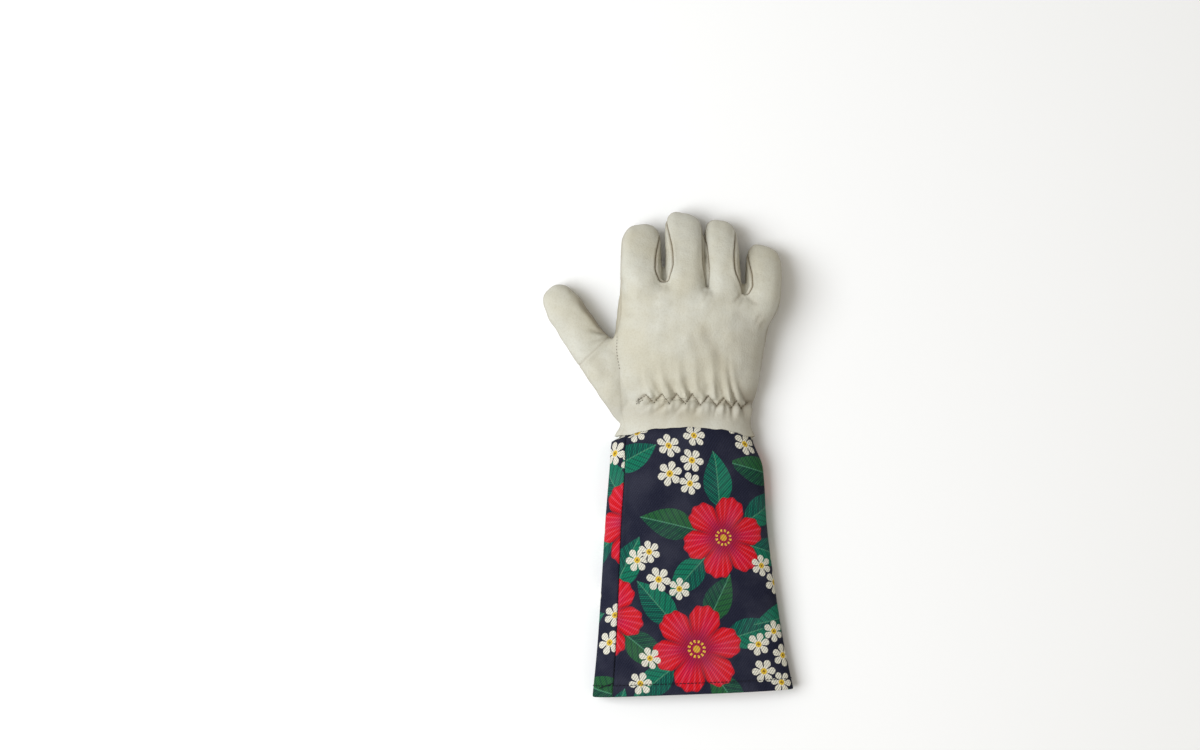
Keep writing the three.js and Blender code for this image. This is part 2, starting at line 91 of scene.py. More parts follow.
# Palm sections: at, left, right, bottom, top, sit, arch, skew
PALM_ROWS = np.array([
    (-0.037, -0.435, 0.458, 0, 0.65, 0.75, 1, 0),
    (0.045, -0.423, 0.432, 0, 0.65, 0.75, 1, 0),
    (0.12, -0.425, 0.43, 0, 0.65, 0.75, 0.8, 0),
    (0.19, -0.43, 0.436, 0, 0.61, 0.75, 0.66, 0),
    (0.25, -0.435, 0.456, 0, 0.66, 0.75, 0.5, 0),
    (0.4, -0.443, 0.485, 0, 0.79, 0.78, 0.2, 0),
    (0.58, -0.443, 0.512, 0, 0.9, 0.84, 0, 0),
    (0.76, -0.437, 0.542, 0.04, 0.98, 0.92, 0, 0.2),
    (0.88, -0.427, 0.563, 0.15, 1, 1, 0, 0.7),
    (0.96, -0.41, 0.572, 0.26, 0.96, 1, 0, 0.9),
    (1.03, -0.385, 0.565, 0.36, 0.85, 1, 0, 1),
])

# Cuff sections below the wrist edge: at, left, right, top, arch, skew
CUFF_ROWS = np.array([
    (0.04, -0.36, 0.345, 1.36, 0.9, 0),
    (0.14, -0.37, 0.394, 1.33, 0.75, 0.1),
    (0.36, -0.393, 0.414, 1.25, 0.45, 0.3),
    (0.6, -0.412, 0.454, 1.14, 0.2, 0.6),
    (0.8, -0.43, 0.494, 1.06, 0.05, 0.8),
    (1, -0.455, 0.547, 1, 0, 1),
])

# Fingers: place, tip, start, reach, width, depth, rise, root, slant
FINGERS = {
    "index": (-0.277, -0.275, 0.93, 0.83, 1.05, 1, 1, 1, 0),
    "middle": (0.012, -0.006, 0.92, 1, 1, 1, 1, 1, 0.8),
    "ring": (0.27, 0.23, 0.89, 0.96, 0.87, 0.96, 0.97, 1, 0.7),
    "little": (0.49, 0.52, 0.84, 0.74, 0.93, 0.9, 0.9, 0.7, 1.2),
}

# Finger sections from root to tip: at, width, depth
FINGER_ROWS = np.array([
    (-0.22, 0.6, 0.6), (0, 1, 0.98), (0.24, 1.02, 0.97), (0.47, 1.01, 0.93), (0.67, 0.99, 0.88),
    (0.82, 0.95, 0.81), (0.92, 0.82, 0.68), (0.98, 0.6, 0.46), (1, 0.3, 0.2),
])

# Thumb sections from the wrist corner to the tip: at, width, depth
THUMB_ROWS = np.array([
    (0.04, 1, 0.5), (0.14, 1.25, 0.75), (0.27, 1.32, 0.97), (0.41, 1.2, 1.05), (0.55, 1.02, 1.02),
    (0.7, 0.98, 0.96), (0.82, 0.97, 0.88), (0.91, 0.84, 0.74), (0.97, 0.58, 0.5), (0.99, 0.28, 0.22),
])

# The seam between the back and the thumb's side: along the palm, across it
BACK_SEAM = np.array([
    (-0.3, -0.395), (0.05, -0.395), (0.45, -0.416), (0.6, -0.437), (0.72, -0.43), (0.78, -0.7), (3, -0.7),
])
THUMB_ALONG = np.array([-math.sin(THUMB_ANGLE), math.cos(THUMB_ANGLE), 0])
THUMB_ACROSS = np.array([math.cos(THUMB_ANGLE), math.sin(THUMB_ANGLE), 0])
WRIST_CORNER = np.array([-0.41 * KNUCKLE_WIDTH, 0.036 * PALM_LENGTH, 0])
THUMB_CROTCH = (-0.455 * KNUCKLE_WIDTH, 0.71 * PALM_LENGTH)
THUMB_SEAM_ACROSS = (-0.69, 0.724)
ROOT_SEAM_Y = 1.015 * PALM_LENGTH
ROOT_SEAM_SLANT = 0.17

# The drawing's zero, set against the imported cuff's corner
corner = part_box("cuff_palm")[0]
PLACE = np.array([corner.x * 1000 - CUFF_ROWS[-1, 1] * MOUTH_WIDTH,
                  corner.y * 1000 + CUFF_LENGTH - MOUTH_SKEW, 0])


def in_place(points):
    """Drawing points in millimetres, as row-frame points in metres."""
    return (np.asarray(points, float) + PLACE) * 0.001


def smooth(t):
    t = np.clip(t, 0, 1)
    return t * t * (3 - 2 * t)


def bell(distance, width):
    return np.exp(-((distance / width) ** 2))


def read_rows(rows, places):
    """The table's columns at any places, on smooth curves that never overshoot the rows."""
    at, values = rows[:, 0], rows[:, 1:]
    gap = np.diff(at)[:, None]
    slope = np.diff(values, axis=0) / gap
    lean = np.zeros_like(values)
    same = slope[:-1] * slope[1:] > 0
    total = np.where(same, slope[:-1] + slope[1:], 1)
    lean[1:-1] = np.where(same, 2 * slope[:-1] * slope[1:] / total, 0)
    lean[0], lean[-1] = slope[0], slope[-1]
    places = np.clip(places, at[0], at[-1])
    i = np.clip(np.searchsorted(at, places, side="right") - 1, 0, len(at) - 2)
    t = ((places - at[i]) / gap[i, 0])[:, None]
    h = gap[i]
    return ((2 * t**3 - 3 * t**2 + 1) * values[i] + (t**3 - 2 * t**2 + t) * h * lean[i]
            + (3 * t**2 - 2 * t**3) * values[i + 1] + (t**3 - t**2) * h * lean[i + 1])


def oval(count, roundness):
    angle = 2 * np.pi * (np.arange(count) + 0.5) / count
    c, s = np.cos(angle), np.sin(angle)
    power = 2 / roundness
    return np.sign(c) * np.abs(c) ** power, np.sign(s) * np.abs(s) ** power


def palm_sections(y):
    """Left, right, bottom, top, sit, arch and skew of the palm in millimetres at each y."""
    scale = [KNUCKLE_WIDTH] * 2 + [KNUCKLE_HEIGHT] * 2 + [1, WRIST_ARCH, KNUCKLE_SKEW]
    return read_rows(PALM_ROWS, np.asarray(y) / PALM_LENGTH) * scale


def palm_rings():
    y = np.linspace(WRIST_Y - 16, 1.03 * PALM_LENGTH, 112)
    left, right, bottom, top, sit, arch, skew = (c[:, None] for c in palm_sections(y).T)
    share, lift = oval(180, HAND_ROUNDNESS)
    depth = (top - bottom) / (1 + sit)
    x = left + (right - left) / 2 * (1 + share)
    z = np.maximum(top - depth + depth * lift, bottom)
    return np.stack([x, y[:, None] + arch * (1 - share**2) - skew * share, z], axis=-1)


class FingerLine:
    """The centre line of one finger, level at its root and curling down to its tip."""

    def __init__(self, name):
        place, tip, start, reach, width, depth, rise, self.root, slant = FINGERS[name]
        self.start = start * PALM_LENGTH
        self.reach = reach * FINGER_REACH
        self.width = width * FINGER_WIDTH
        self.depth = depth * FINGER_DEPTH
        self.slant = slant * FINGER_SLANT
        self.root_x = place * KNUCKLE_WIDTH
        self.lean = (tip - place) * KNUCKLE_WIDTH / self.reach
        self.root_z = rise * FINGER_RISE - self.depth / 2

    def x(self, y):
        return self.root_x + self.lean * (y - self.start)

    def z(self, y):
        return self.root_z - FINGER_DROP * np.maximum(0, (y - self.start) / self.reach) ** 2


LINES = [FingerLine(name) for name in FINGERS]


def rings_on_floor(sections, roundness):
    """Oval rings that don't pass the floor, from their centres and their half axes out and up."""
    out, lift = oval(64, roundness)
    rings = [centre + np.outer(out, wide) + np.outer(lift, high) for centre, wide, high in sections]
    rings = np.array(rings)
    rings[..., 2] = np.maximum(rings[..., 2], 0)
    return rings


def finger_rings(line):
    at = np.concatenate([np.linspace(-0.22, 0.9, 46), np.linspace(0.91, 1, 16)])
    sections = []
    for share, (width, depth) in zip(at, read_rows(FINGER_ROWS, at)):
        y = line.start + share * line.reach
        along = np.array([line.lean, 1, -2 * FINGER_DROP * max(0, share) / line.reach])
        along /= np.linalg.norm(along)
        across = np.array([1, -line.lean, 0])
        across /= np.linalg.norm(across)
        up = np.cross(across, along)
        half_width = width * line.width / 2 * (1 if share > 0 else line.root)
        slanted = across * half_width - along * line.slant * max(0, share) ** 2
        slanted *= half_width / np.linalg.norm(slanted)
        centre = np.array([line.x(y), y, line.z(y)])
        sections.append((centre, slanted, up * depth * line.depth / 2))
    return rings_on_floor(sections, FINGER_ROUNDNESS)


def thumb_rings():
    at = np.concatenate([np.linspace(0.04, 0.88, 50), np.linspace(0.89, 0.99, 16)])
    sections = []
    for share, (width, depth) in zip(at, read_rows(THUMB_ROWS, at)):
        wide = width * THUMB_WIDTH
        centre = WRIST_CORNER + THUMB_ALONG * share * THUMB_LENGTH
        centre = centre + THUMB_ACROSS * max(wide, THUMB_WIDTH) / 2
        centre[2] = 0.46 * THUMB_DEPTH * (1 - 0.15 * share**2)
        sections.append((centre, THUMB_ACROSS * wide / 2, (0, 0, depth * THUMB_DEPTH / 2)))
    return rings_on_floor(sections, THUMB_ROUNDNESS)


def closed_tube(rings, first):
    """Points and faces of a closed tube through the rings, its points numbered from first."""
    count, around = rings.shape[:2]
    points = list(rings.reshape(-1, 3)) + [rings[0].mean(0), rings[-1].mean(0)]
    faces = []
    for r in range(count - 1):
        for i in range(around):
            j = (i + 1) % around
            a, b = r * around, (r + 1) * around
            faces.append((a + i, a + j, b + j, b + i))
    low, high = count * around, count * around + 1
    last = (count - 1) * around
    for i in range(around):
        j = (i + 1) % around
        faces.append((j, i, low))
        faces.append((last + i, last + j, high))
    return points, [tuple(k + first for k in f) for f in faces]


def link(made):
    scene.collection.objects.link(made)
    return made


def mesh_object(name, points, faces, edges=()):
    mesh = bpy.data.meshes.new(name)
    mesh.from_pydata([tuple(p) for p in points], edges, [tuple(int(k) for k in f) for f in faces])
    mesh.update()
    return link(bpy.data.objects.new(name, mesh))


def finished_mesh(made):
    """The object's mesh with its modifiers worked in and taken off."""
    depsgraph = bpy.context.evaluated_depsgraph_get()
    mesh = bpy.data.meshes.new_from_object(made.evaluated_get(depsgraph))
    made.modifiers.clear()
    made.data = mesh
    return mesh


def arrays_of(mesh):
    points = np.empty(len(mesh.vertices) * 3)
    mesh.vertices.foreach_get("co", points)
    mesh.calc_loop_triangles()
    corners = np.empty(len(mesh.loop_triangles) * 3, int)
    mesh.loop_triangles.foreach_get("vertices", corners)
    return points.reshape(-1, 3), corners.reshape(-1, 3)


def sides_of(faces):
    return np.concatenate([faces[:, [0, 1]], faces[:, [1, 2]], faces[:, [2, 0]]])


def edges_of(faces):
    return np.unique(np.sort(sides_of(faces), axis=1), axis=0)


def summed(places, values, count):
    """For each of count places, the sum of the rows of values that belong to it."""
    return np.stack([np.bincount(places, column, count) for column in values.T], axis=1)


def normals_of(points, faces):
    a, b, c = (points[faces[:, k]] for k in range(3))
    total = sum(summed(faces[:, k], np.cross(b - a, c - a), len(points)) for k in range(3))
    return total / np.maximum(np.linalg.norm(total, axis=1, keepdims=True), 1e-12)


def relax(points, edges, rounds, amount, shrink=None):
    """Moves each point towards its neighbours' middle; shrink, below nought, keeps the volume."""
    a, b = edges.T
    degree = np.maximum(np.bincount(edges.ravel(), minlength=len(points)), 1)[:, None]
    for _ in range(rounds):
        for step in (amount, shrink):
            if step is None:
                continue
            total = summed(a, points[b], len(points)) + summed(b, points[a], len(points))
            points = points + step * (total / degree - points)
    return points


# The one smooth skin of the whole hand, before it is cut into panels
def hand_skin():
    points, faces = [], []
    for rings in [palm_rings(), thumb_rings()] + [finger_rings(line) for line in LINES]:
        more, quads = closed_tube(rings, len(points))
        points += more
        faces += quads
    skin = mesh_object("hand_skin", points, faces)
    remesh = skin.modifiers.new("remesh", "REMESH")
    remesh.mode = "VOXEL"
    remesh.voxel_size = VOXEL
    points, faces = arrays_of(finished_mesh(skin))
    bpy.data.objects.remove(skin)
    edges = edges_of(faces)
    points = relax(points, edges, 8, 0.5, -0.52)
    points = relax(points, edges, ROOT_ROUNDS, 0.5 * soft_places(points)[:, None])
    points = relax(points, edges, BACK_ROUNDS, 0.5 * flat_places(points)[:, None])
    points = relax(points, edges, 3, 0.5, -0.52)
    points[:, 2] = np.maximum(points[:, 2], 0)
    return points, faces


def gap_x(i, y):
    a, b = LINES[i], LINES[i + 1]
    return (a.x(y) + a.width / 2 + b.x(y) - b.width / 2) / 2


def to_gap(x, y):
    """Distance across the hand to the nearest gap between two fingers."""
    return np.min([np.abs(x - gap_x(i, y)) for i in range(3)], axis=0)


def soft_places(p):
    """How much each place of the skin is eased: where fingers and thumb run into the palm."""
    x, y = p[:, 0], p[:, 1]
    root = bell(y - 0.9 * PALM_LENGTH + 0.1 * x, 15) * smooth((y - 60) / 25)
    root *= 1 - smooth((9 - to_gap(x, y)) / 5) * smooth((y - 88) / 12)
    crotch = np.hypot(x - THUMB_CROTCH[0], y - THUMB_CROTCH[1])
    return np.clip(0.6 * root + 0.6 * bell(crotch, 12), 0, 1)


def flat_places(p):
    """How much each place of the back is drawn flat where the finger roots pass into it."""
    x, y, z = p.T
    level = np.interp(y, [40, 80, 110, 125], [14, 22, 30, 32])
    top = smooth((z - level) / 8)
    reach = smooth((y - 62) / 14) * (1 - smooth((y - 108 + 0.12 * x) / 12))
    off_gap = 1 - smooth((8 - to_gap(x, y)) / 4) * smooth((y - 92) / 10)
    return np.clip(top * reach * off_gap, 0, 1)


def seam_level(y, line):
    section = palm_sections(y)
    bottom, top, sit = section[:, 2], section[:, 3], section[:, 4]
    palm = top - (top - bottom) / (1 + sit)
    climb = smooth((y - 0.6 * PALM_LENGTH) / (line.start - 0.6 * PALM_LENGTH))
    return palm + (line.z(y) - palm) * climb


# How wide the side strip of each gap shows, as shares of its full width
FORK_SHARES = (1.17, 0.8, 1.15)


def fork_half(y, line):
    at = (y - line.start) / line.reach
    opening = 0.5 + 0.5 * smooth((at - 0.1) / 0.35)
    fade = np.clip((at - 0.55) / 0.42, 0, 1)
    return FORK_WIDTH / 2 * opening * np.sqrt(1 - fade**2) * (y > 0.8 * PALM_LENGTH)


def seam_height(p, side):
    """Height of the seams along the hand's sides: side 1 for the back's edge, -1 for the palm's."""
    x, y = p[:, 0], p[:, 1]
    levels = []
    for i, line in enumerate(LINES):
        right = smooth((x - line.x(y)) / 3 + 0.5)
        facing = right * FORK_SHARES[i] if i < 3 else 0
        facing = facing + ((1 - right) * FORK_SHARES[i - 1] if i > 0 else 0)
        levels.append(seam_level(y, line) + side * facing * fork_half(y, line))
    height = levels[0]
    for i in range(3):
        height = height + (levels[i + 1] - height) * smooth((x - gap_x(i, y)) / 3 + 0.5)
    return height


def above_edge(side):
    """The cut along the hand's sides: 1 for the back's edge, -1 for the palm's."""
    def field(p):
        edge = np.interp(p[:, 1] / PALM_LENGTH, BACK_SEAM[:, 0], BACK_SEAM[:, 1]) * KNUCKLE_WIDTH
        return np.minimum(p[:, 2] - seam_height(p, side), p[:, 0] - edge)
    return field


def beyond_thumb_seam(p):
    x, y = p[:, 0] - THUMB_CROTCH[0], p[:, 1] - THUMB_CROTCH[1]
    return np.minimum(-x, THUMB_SEAM_ACROSS[0] * x + THUMB_SEAM_ACROSS[1] * y)


def beyond_root_seam(p):
    return p[:, 1] - (ROOT_SEAM_Y - ROOT_SEAM_SLANT * p[:, 0])


def above_wrist_edge(p):
    left, right = PALM_ROWS[0, 1:3] * KNUCKLE_WIDTH
    share = np.clip((p[:, 0] - left) / (right - left) * 2 - 1, -1, 1)
    return p[:, 1] - WRIST_Y - WRIST_ARCH * (1 - share**2)


def cut_along(points, faces, labels, field, near=0.2):
    """Splits the skin's triangles along the line where the field is nought."""
    value = field(points)
    edges = edges_of(faces)
    a, b = edges.T
    crossed = value[a] * value[b] < 0
    a, b = a[crossed], b[crossed]
    t = value[a] / (value[a] - value[b])
    close = np.full(len(points), 1.0)
    for end, other, share in ((a, b, t), (b, a, 1 - t)):
        order = np.argsort(-share)
        for e, o, s in zip(end[order], other[order], share[order]):
            if s < near and s < close[e]:
                close[e] = s
                points[e] = points[e] + (points[o] - points[e]) * s * 0.999
                value[e] = 0
    crossed = value[edges[:, 0]] * value[edges[:, 1]] < 0
    a, b = edges[crossed].T
    t = (value[a] / (value[a] - value[b]))[:, None]
    middle = {pair: len(points) + k for k, pair in enumerate(zip(a, b))}
    points = np.vstack([points, points[a] + (points[b] - points[a]) * t])
    value = np.concatenate([value, np.zeros(len(a))])
    signs = np.sign(value)
    corner = signs[faces]
    split = (corner.min(1) < 0) & (corner.max(1) > 0)
    more, more_labels = [], []
    for face, label in zip(faces[split], labels[split]):
        ring = []
        for i, j in zip(face, np.roll(face, -1)):
            ring.append(i)
            if (min(i, j), max(i, j)) in middle:
                ring.append(middle[min(i, j), max(i, j)])
        for side in (1, -1):
            part = [v for v in ring if signs[v] * side >= 0]
            for k in range(1, len(part) - 1):
                more.append((part[0], part[k], part[k + 1]))
                more_labels.append(label)
    faces = np.vstack([faces[~split], np.array(more, int).reshape(-1, 3)])
    labels = np.concatenate([labels[~split], np.array(more_labels, int)])
    return points, faces, labels, signs[faces].sum(1) > 0


PANELS = ["hand_back", "hand_palm", "thumb", "middle_front", "ring_front",
          "fork_index_middle", "fork_middle_ring", "fork_ring_little"]
BACK, PALM, THUMB, MIDDLE_FRONT, RING_FRONT, FORK = range(6)


def leather_panels():
    """The skin's points, faces and the panel of each face."""
    points, faces = hand_skin()
    labels = np.full(len(faces), PALM)
    points, faces, labels, keep = cut_along(points, faces, labels, above_wrist_edge)
    faces, labels = faces[keep], labels[keep]
    points, faces, labels, thumb = cut_along(points, faces, labels, beyond_thumb_seam)
    labels[thumb] = THUMB
    points, faces, labels, back = cut_along(points, faces, labels, above_edge(1))
    labels[back & (labels == PALM)] = BACK
    points, faces, labels, strip = cut_along(points, faces, labels, above_edge(-1))
    x, y, _ = points[faces].mean(1).T
    strip &= (labels == PALM) & (y > 0.8 * PALM_LENGTH)
    fingers_left = sum((x > line.x(y)).astype(int) for line in LINES)
    for i in range(3):
        labels[strip & (fingers_left == i + 1)] = FORK + i
    points, faces, labels, front = cut_along(points, faces, labels, beyond_root_seam)
    x, y, _ = points[faces].mean(1).T
    front &= labels == PALM
    labels[front & (x > gap_x(0, y)) & (x < gap_x(1, y))] = MIDDLE_FRONT
    labels[front & (x > gap_x(1, y)) & (x < gap_x(2, y))] = RING_FRONT
    return points, faces, labels


def seam_points(points, faces, labels):
    """Points on a seam, shared by two panels, and how deep the seam sinks there."""
    low = np.full(len(points), len(PANELS))
    high = np.full(len(points), -1)
    for k in range(3):
        np.minimum.at(low, faces[:, k], labels)
        np.maximum.at(high, faces[:, k], labels)
    depth = np.where(high == THUMB, 0.3, 1.0)
    beside_thumb = (low == BACK) & (high == PALM) & (points[:, 0] < -40)
    depth = np.where(beside_thumb, 0.15 + 0.6 * smooth((points[:, 1] - 84) / 12), depth)
    return (high >= 0) & (low != high), depth


def distance_to(points, marks):
    tree = KDTree(len(marks))
    for i, mark in enumerate(marks):
        tree.insert(mark, i)
    tree.balance()
    found = [tree.find(p)[1:] for p in points]
    return np.array([gap for _, gap in found]), np.array([place for place, _ in found])


# The elastic's zigzag across the wrist, as places across and along the hand in millimetres
ZIGZAG = np.array([
    (-37.6, 24.8), (-30.5, 29.6), (-24, 23.7), (-17.6, 30.6), (-12.1, 22.8), (-6.1, 30.6), (0.8, 22.8),
    (6.2, 30.6), (12.7, 21.8), (19.1, 28.8), (25.6, 21), (31.5, 26.9), (37.5, 20), (41.6, 24.8),
    (45.3, 19.2), (50.4, 23.2),
])


def fold_height(p):
    """Height of the gathers above and below the elastic."""
    x, y = p[:, 0], p[:, 1]
    rise = y - np.interp(x, ZIGZAG[:, 0], ZIGZAG[:, 1])
    line_rise = y - np.interp(x, [-60, -30, 0, 20, 60], [27, 27, 26.4, 24.4, 20])
    marks = ZIGZAG[1:, 0]
    turns = np.arange(len(marks)) * 0.5
    lean = np.interp(x, [-30, -15, 1, 14, 26, 40, 52], [0.5, 0.5, 0.38, 0.22, 0.17, 0.45, 0.62])
    up = np.maximum(line_rise, 0)
    above = np.interp(x + lean * up * np.exp(-up / 60), marks, turns)
    near = np.abs(np.sin(np.pi * above)) ** 0.7
    far = np.sin(np.pi * above) ** 2
    mix = smooth(up / 12)
    reach = np.interp(x, [-40, -24, -12, 5, 20, 35, 52], [10, 14, 16, 20, 19, 17, 21])
    full = (0.6 + 0.4 * smooth(up / 4)) * np.exp(-((up / reach) ** 1.6))
    full *= 1 + 0.25 * np.sin(0.37 * x + 1) + 0.15 * np.sin(0.91 * x)
    fine = 0.14 * np.sin(4.4 * np.pi * above + 0.2 * up + 1) * np.exp(-((up - 5) / 7) ** 2)
    high = ((1 - mix) * near + mix * far) * full + fine
    down = np.maximum(-line_rise, 0)
    fan = 0.018 * (x - 10) - 0.4
    below = np.interp(x - fan * down, marks, turns)
    tents = np.abs(np.cos(np.pi * below)) ** 0.8
    low = tents * (0.6 + 0.4 * smooth(down / 3)) * smooth((15 - down) / 11)
    low *= 1 + 0.25 * np.sin(0.45 * x + 2) + 0.15 * np.sin(1.1 * x)
    low += 0.05 * np.sin(5 * np.pi * below + 0.5) * np.exp(-((down - 4) / 5) ** 2)
    side = smooth(rise / 1.4 + 0.5)
    ends = smooth((x + 40) / 9) * smooth((57 - x) / 6)
    channel = -1.5 * bell(rise, 1.5)
    return (GATHER_HEIGHT * (side * high * 1.5 + (1 - side) * low) + channel) * ends


def stroke(p, path, width, height):
    """A ridge or valley along a path in plan, as its height at each point."""
    x, y = p[:, 0], p[:, 1]
    best = np.full(len(p), 1e9)
    taper = np.zeros(len(p))
    path = np.asarray(path, float)
    count = len(path) - 1
    for k in range(count):
        a, b = path[k], path[k + 1]
        d = b - a
        t = np.clip(((x - a[0]) * d[0] + (y - a[1]) * d[1]) / (d @ d), 0, 1)
        gap = np.hypot(x - a[0] - d[0] * t, y - a[1] - d[1] * t)
        nearer = gap < best
        best = np.where(nearer, gap, best)
        taper = np.where(nearer, np.sin(np.pi * np.clip((k + t) / count, 0.03, 0.97)), taper)
    return height * taper * bell(best, width)


# Soft drapes and small wrinkles of the leather: path across and along the hand, width and height
DRAPES = [
    ([(8, 92), (17, 78), (27, 58), (35, 42)], 4.5, -1.0),
    ([(2, 84), (9, 68), (12, 50)], 4.0, -0.7),
    ([(20, 96), (32, 84), (42, 66), (49, 46)], 6.0, 0.8),
    ([(-8, 70), (-6, 56), (-9, 46)], 5.0, 0.5),
    ([(40, 104), (44, 92), (54, 80)], 5.0, -0.6),
    ([(-34, 88), (-28, 74), (-26, 60)], 7.0, 0.5),
    ([(63, 96), (58, 90), (55, 84)], 2.0, -0.9),
    ([(66, 91), (61, 86), (59, 80)], 1.6, -0.7),
    ([(46, 111), (42, 106), (38, 103)], 1.3, -1.2),
    ([(48, 109), (45, 103), (41, 99)], 1.3, -0.8),
    ([(50, 108), (55, 103), (61, 101)], 1.4, -0.9),
    ([(19, 114), (17, 108), (13, 103)], 1.3, -0.6),
    ([(-17, 120), (-19, 114), (-23, 110)], 1.4, -0.6),
    ([(-52, 112), (-46, 106), (-42, 103)], 2.2, -0.5),
    ([(-50, 96), (-44, 93), (-38, 93)], 2.2, -0.5),
    ([(-59, 78), (-67, 80), (-78, 82)], 1.4, -1.7),
    ([(-60, 76), (-67, 74), (-75, 72)], 1.3, -1.0),
    ([(-61, 80), (-67, 85), (-72, 92)], 1.5, -1.3),
    ([(-58, 76), (-56, 68), (-57, 60)], 2.4, -0.6),
    ([(-74, 62), (-66, 52), (-60, 44)], 5.0, -0.6),
]


# The path of the painted brown shade along the thumb's inner side, in plan
THUMB_SIDE = [(-90, 112), (-80.5, 100.5), (-71, 88), (-61, 75)]


def shaped_leather(points, faces, labels):
    """The skin with its gathers, seam grooves, wrinkles and soft unevenness, and each point's painted
    shade.
    """
    edges = edges_of(faces)
    normals = normals_of(points, faces)
    upward = smooth(normals[:, 2] / 0.6)
    on_seam, depth = seam_points(points, faces, labels)
    seam, nearest = distance_to(points, points[on_seam])
    depth = depth[on_seam][nearest]
    folds = fold_height(points) * upward
    drape = 0.75 * sum(stroke(points, *one) for one in DRAPES) * upward
    groove = depth * (0.5 * bell(seam - 1.9, 1.2) - 0.9 * bell(seam, 0.8))
    x, y, z = points.T
    waves = (0.6 * np.sin(x * 0.085 + y * 0.05 + 1.3) * np.sin(y * 0.075 - x * 0.03 + 0.4)
             + 0.34 * np.sin(x * 0.19 - y * 0.11 + 2.1) * np.sin(y * 0.17 + 0.9)
             + 0.14 * np.sin(x * 0.41 + y * 0.3) * np.sin(y * 0.37 - x * 0.16 + 1.7))
    moved = points + normals * (folds + drape + groove + waves * smooth(seam / 6))[:, None]
    moved[:, 0] += 1.4 * bell(y - 5, 5) * smooth((-40 - x) / 8)
    flap = bell(np.hypot(x + 53, y + 4), 6)
    moved[:, 0] -= 1.5 * flap
    moved[:, 1] += (0.5 * np.sin(x * 0.21 + 0.7) + 0.3 * np.sin(x * 0.47)) * smooth((8 - y) / 8)
    moved = relax(moved, edges, 1, 0.25)
    moved[:, 2] = np.maximum(moved[:, 2], 0)
    # Painted shade, darker in the gathers' valleys beside the elastic
    painted_shade = np.clip(1 - folds / 1.2, 0, 1) * bell(y - 26, 9) * upward * smooth((x + 36) / 8) * 0.5
    # Painted shade: a brown band along the thumb's inner side
    painted_thumb_shade = stroke(points, THUMB_SIDE, 2.6, 1) * (z > 8)
    # Painted shade along the elastic's zigzag
    elastic = bell(y - np.interp(x, ZIGZAG[:, 0], ZIGZAG[:, 1]), 1.6) * upward * smooth((x + 40) / 4)
    # Painted shade on the skin's steep sides, darker the steeper they are
    edge = smooth((0.5 - np.abs(normals[:, 2])) / 0.5)
    # More painted shade in the seam grooves and in the drapes' valleys
    painted_shade = painted_shade + depth * bell(seam, 0.9) + np.clip(-drape * 0.4, 0, 0.5)
    painted_shade = painted_shade + 0.9 * painted_thumb_shade + elastic * 0.4 + 0.55 * edge
    # Painted shade: a warm band below the elastic and a darker, warmer right side of the back
    painted_warm_shade = 0.26 * bell(y - 16, 9) + 0.3 * smooth((x - 20) / 30) * smooth((100 - y) / 20)
    painted_shade = np.clip(painted_shade + painted_warm_shade, 0, 1)
    return moved, painted_shade


def split_panel(points, faces, chosen, drawn_in):
    """One panel's own points and faces, its sewn edges drawn in a little from its neighbours'."""
    used, inverse = np.unique(faces[chosen].ravel(), return_inverse=True)
    panel = inverse.reshape(-1, 3)
    corners = points[used]
    middles = corners[panel].mean(1)
    inward = sum(summed(panel[:, k], middles, len(corners)) for k in range(3))
    counts = np.maximum(np.bincount(panel.ravel(), minlength=len(corners)), 1)[:, None]
    inward = inward / counts - corners
    inward /= np.maximum(np.linalg.norm(inward, axis=1), 1e-6)[:, None]
    return used, corners + inward * drawn_in[used][:, None], panel


def dress(made, node, outside, inside, wall):
    """Gives a surface its two materials and its wall, and lets it stand for a node of the part."""
    made.data.materials.append(outside)
    made.data.materials.append(inside)
    solid = made.modifiers.new("wall", "SOLIDIFY")
    solid.thickness = wall * 0.001
    solid.offset = -1
    solid.use_rim = True
    solid.material_offset = 1
    solid.material_offset_rim = 0
    finished_mesh(made).shade_smooth()
    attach(made, "root")
    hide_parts(node)


def make_leather(finish, suede):
    points, faces, labels = leather_panels()
    points, painted_shade = shaped_leather(points, faces, labels)
    on_seam, depth = seam_points(points, faces, labels)
    drawn_in = 0.16 * on_seam * (depth > 0.9)
    for k, name in enumerate(PANELS):
        used, corners, panel = split_panel(points, faces, labels == k, drawn_in)
        made = mesh_object(name + "_leather", in_place(corners), panel)
        # Each point's painted shade, which the leather's material turns into a warm brown
        mark = made.data.attributes.new("painted_shade", "FLOAT", "POINT")
        mark.data.foreach_set("value", painted_shade[used].astype(np.float32))
        dress(made, name, finish, suede, LEATHER_WALL)
        made.data.set_sharp_from_angle(angle=RIM_ANGLE)
    return points, faces, labels


# The print: one repeat of the cloth in millimetres, across and along it
REPEAT = (190, 235)
PRINT_SHIFT = {"cuff_back": (62, 222), "cuff_palm": (150, 120)}

# Red blossoms: across, along, radius, turn
BLOSSOMS = [(34, 40, 36, 10), (150, 70, 34, -15), (62, 128, 33, 75), (138, 178, 36, 200)]

# Leaves that fan out from under the blossoms: blossom, angle, distance, half length, tint of their green
LEAVES = [
    (0, 15, 47, 24, 0), (0, 62, 45, 22, 1), (0, 128, 47, 24, 0), (0, 215, 46, 22, 0), (0, 300, 45, 24, 1),
    (1, 60, 46, 24, 0), (1, 108, 45, 23, 1), (1, 190, 46, 24, 0), (1, 255, 44, 22, 0), (1, 318, 45, 24, 1),
    (2, 35, 45, 24, 0), (2, 95, 46, 23, 0), (2, 165, 45, 24, 1), (2, 225, 44, 22, 0), (2, 345, 45, 23, 0),
    (3, 70, 48, 24, 0), (3, 118, 47, 23, 0), (3, 172, 48, 24, 1), (3, 240, 46, 24, 0), (3, 290, 47, 22, 1),
    (3, 20, 47, 22, 0),
]

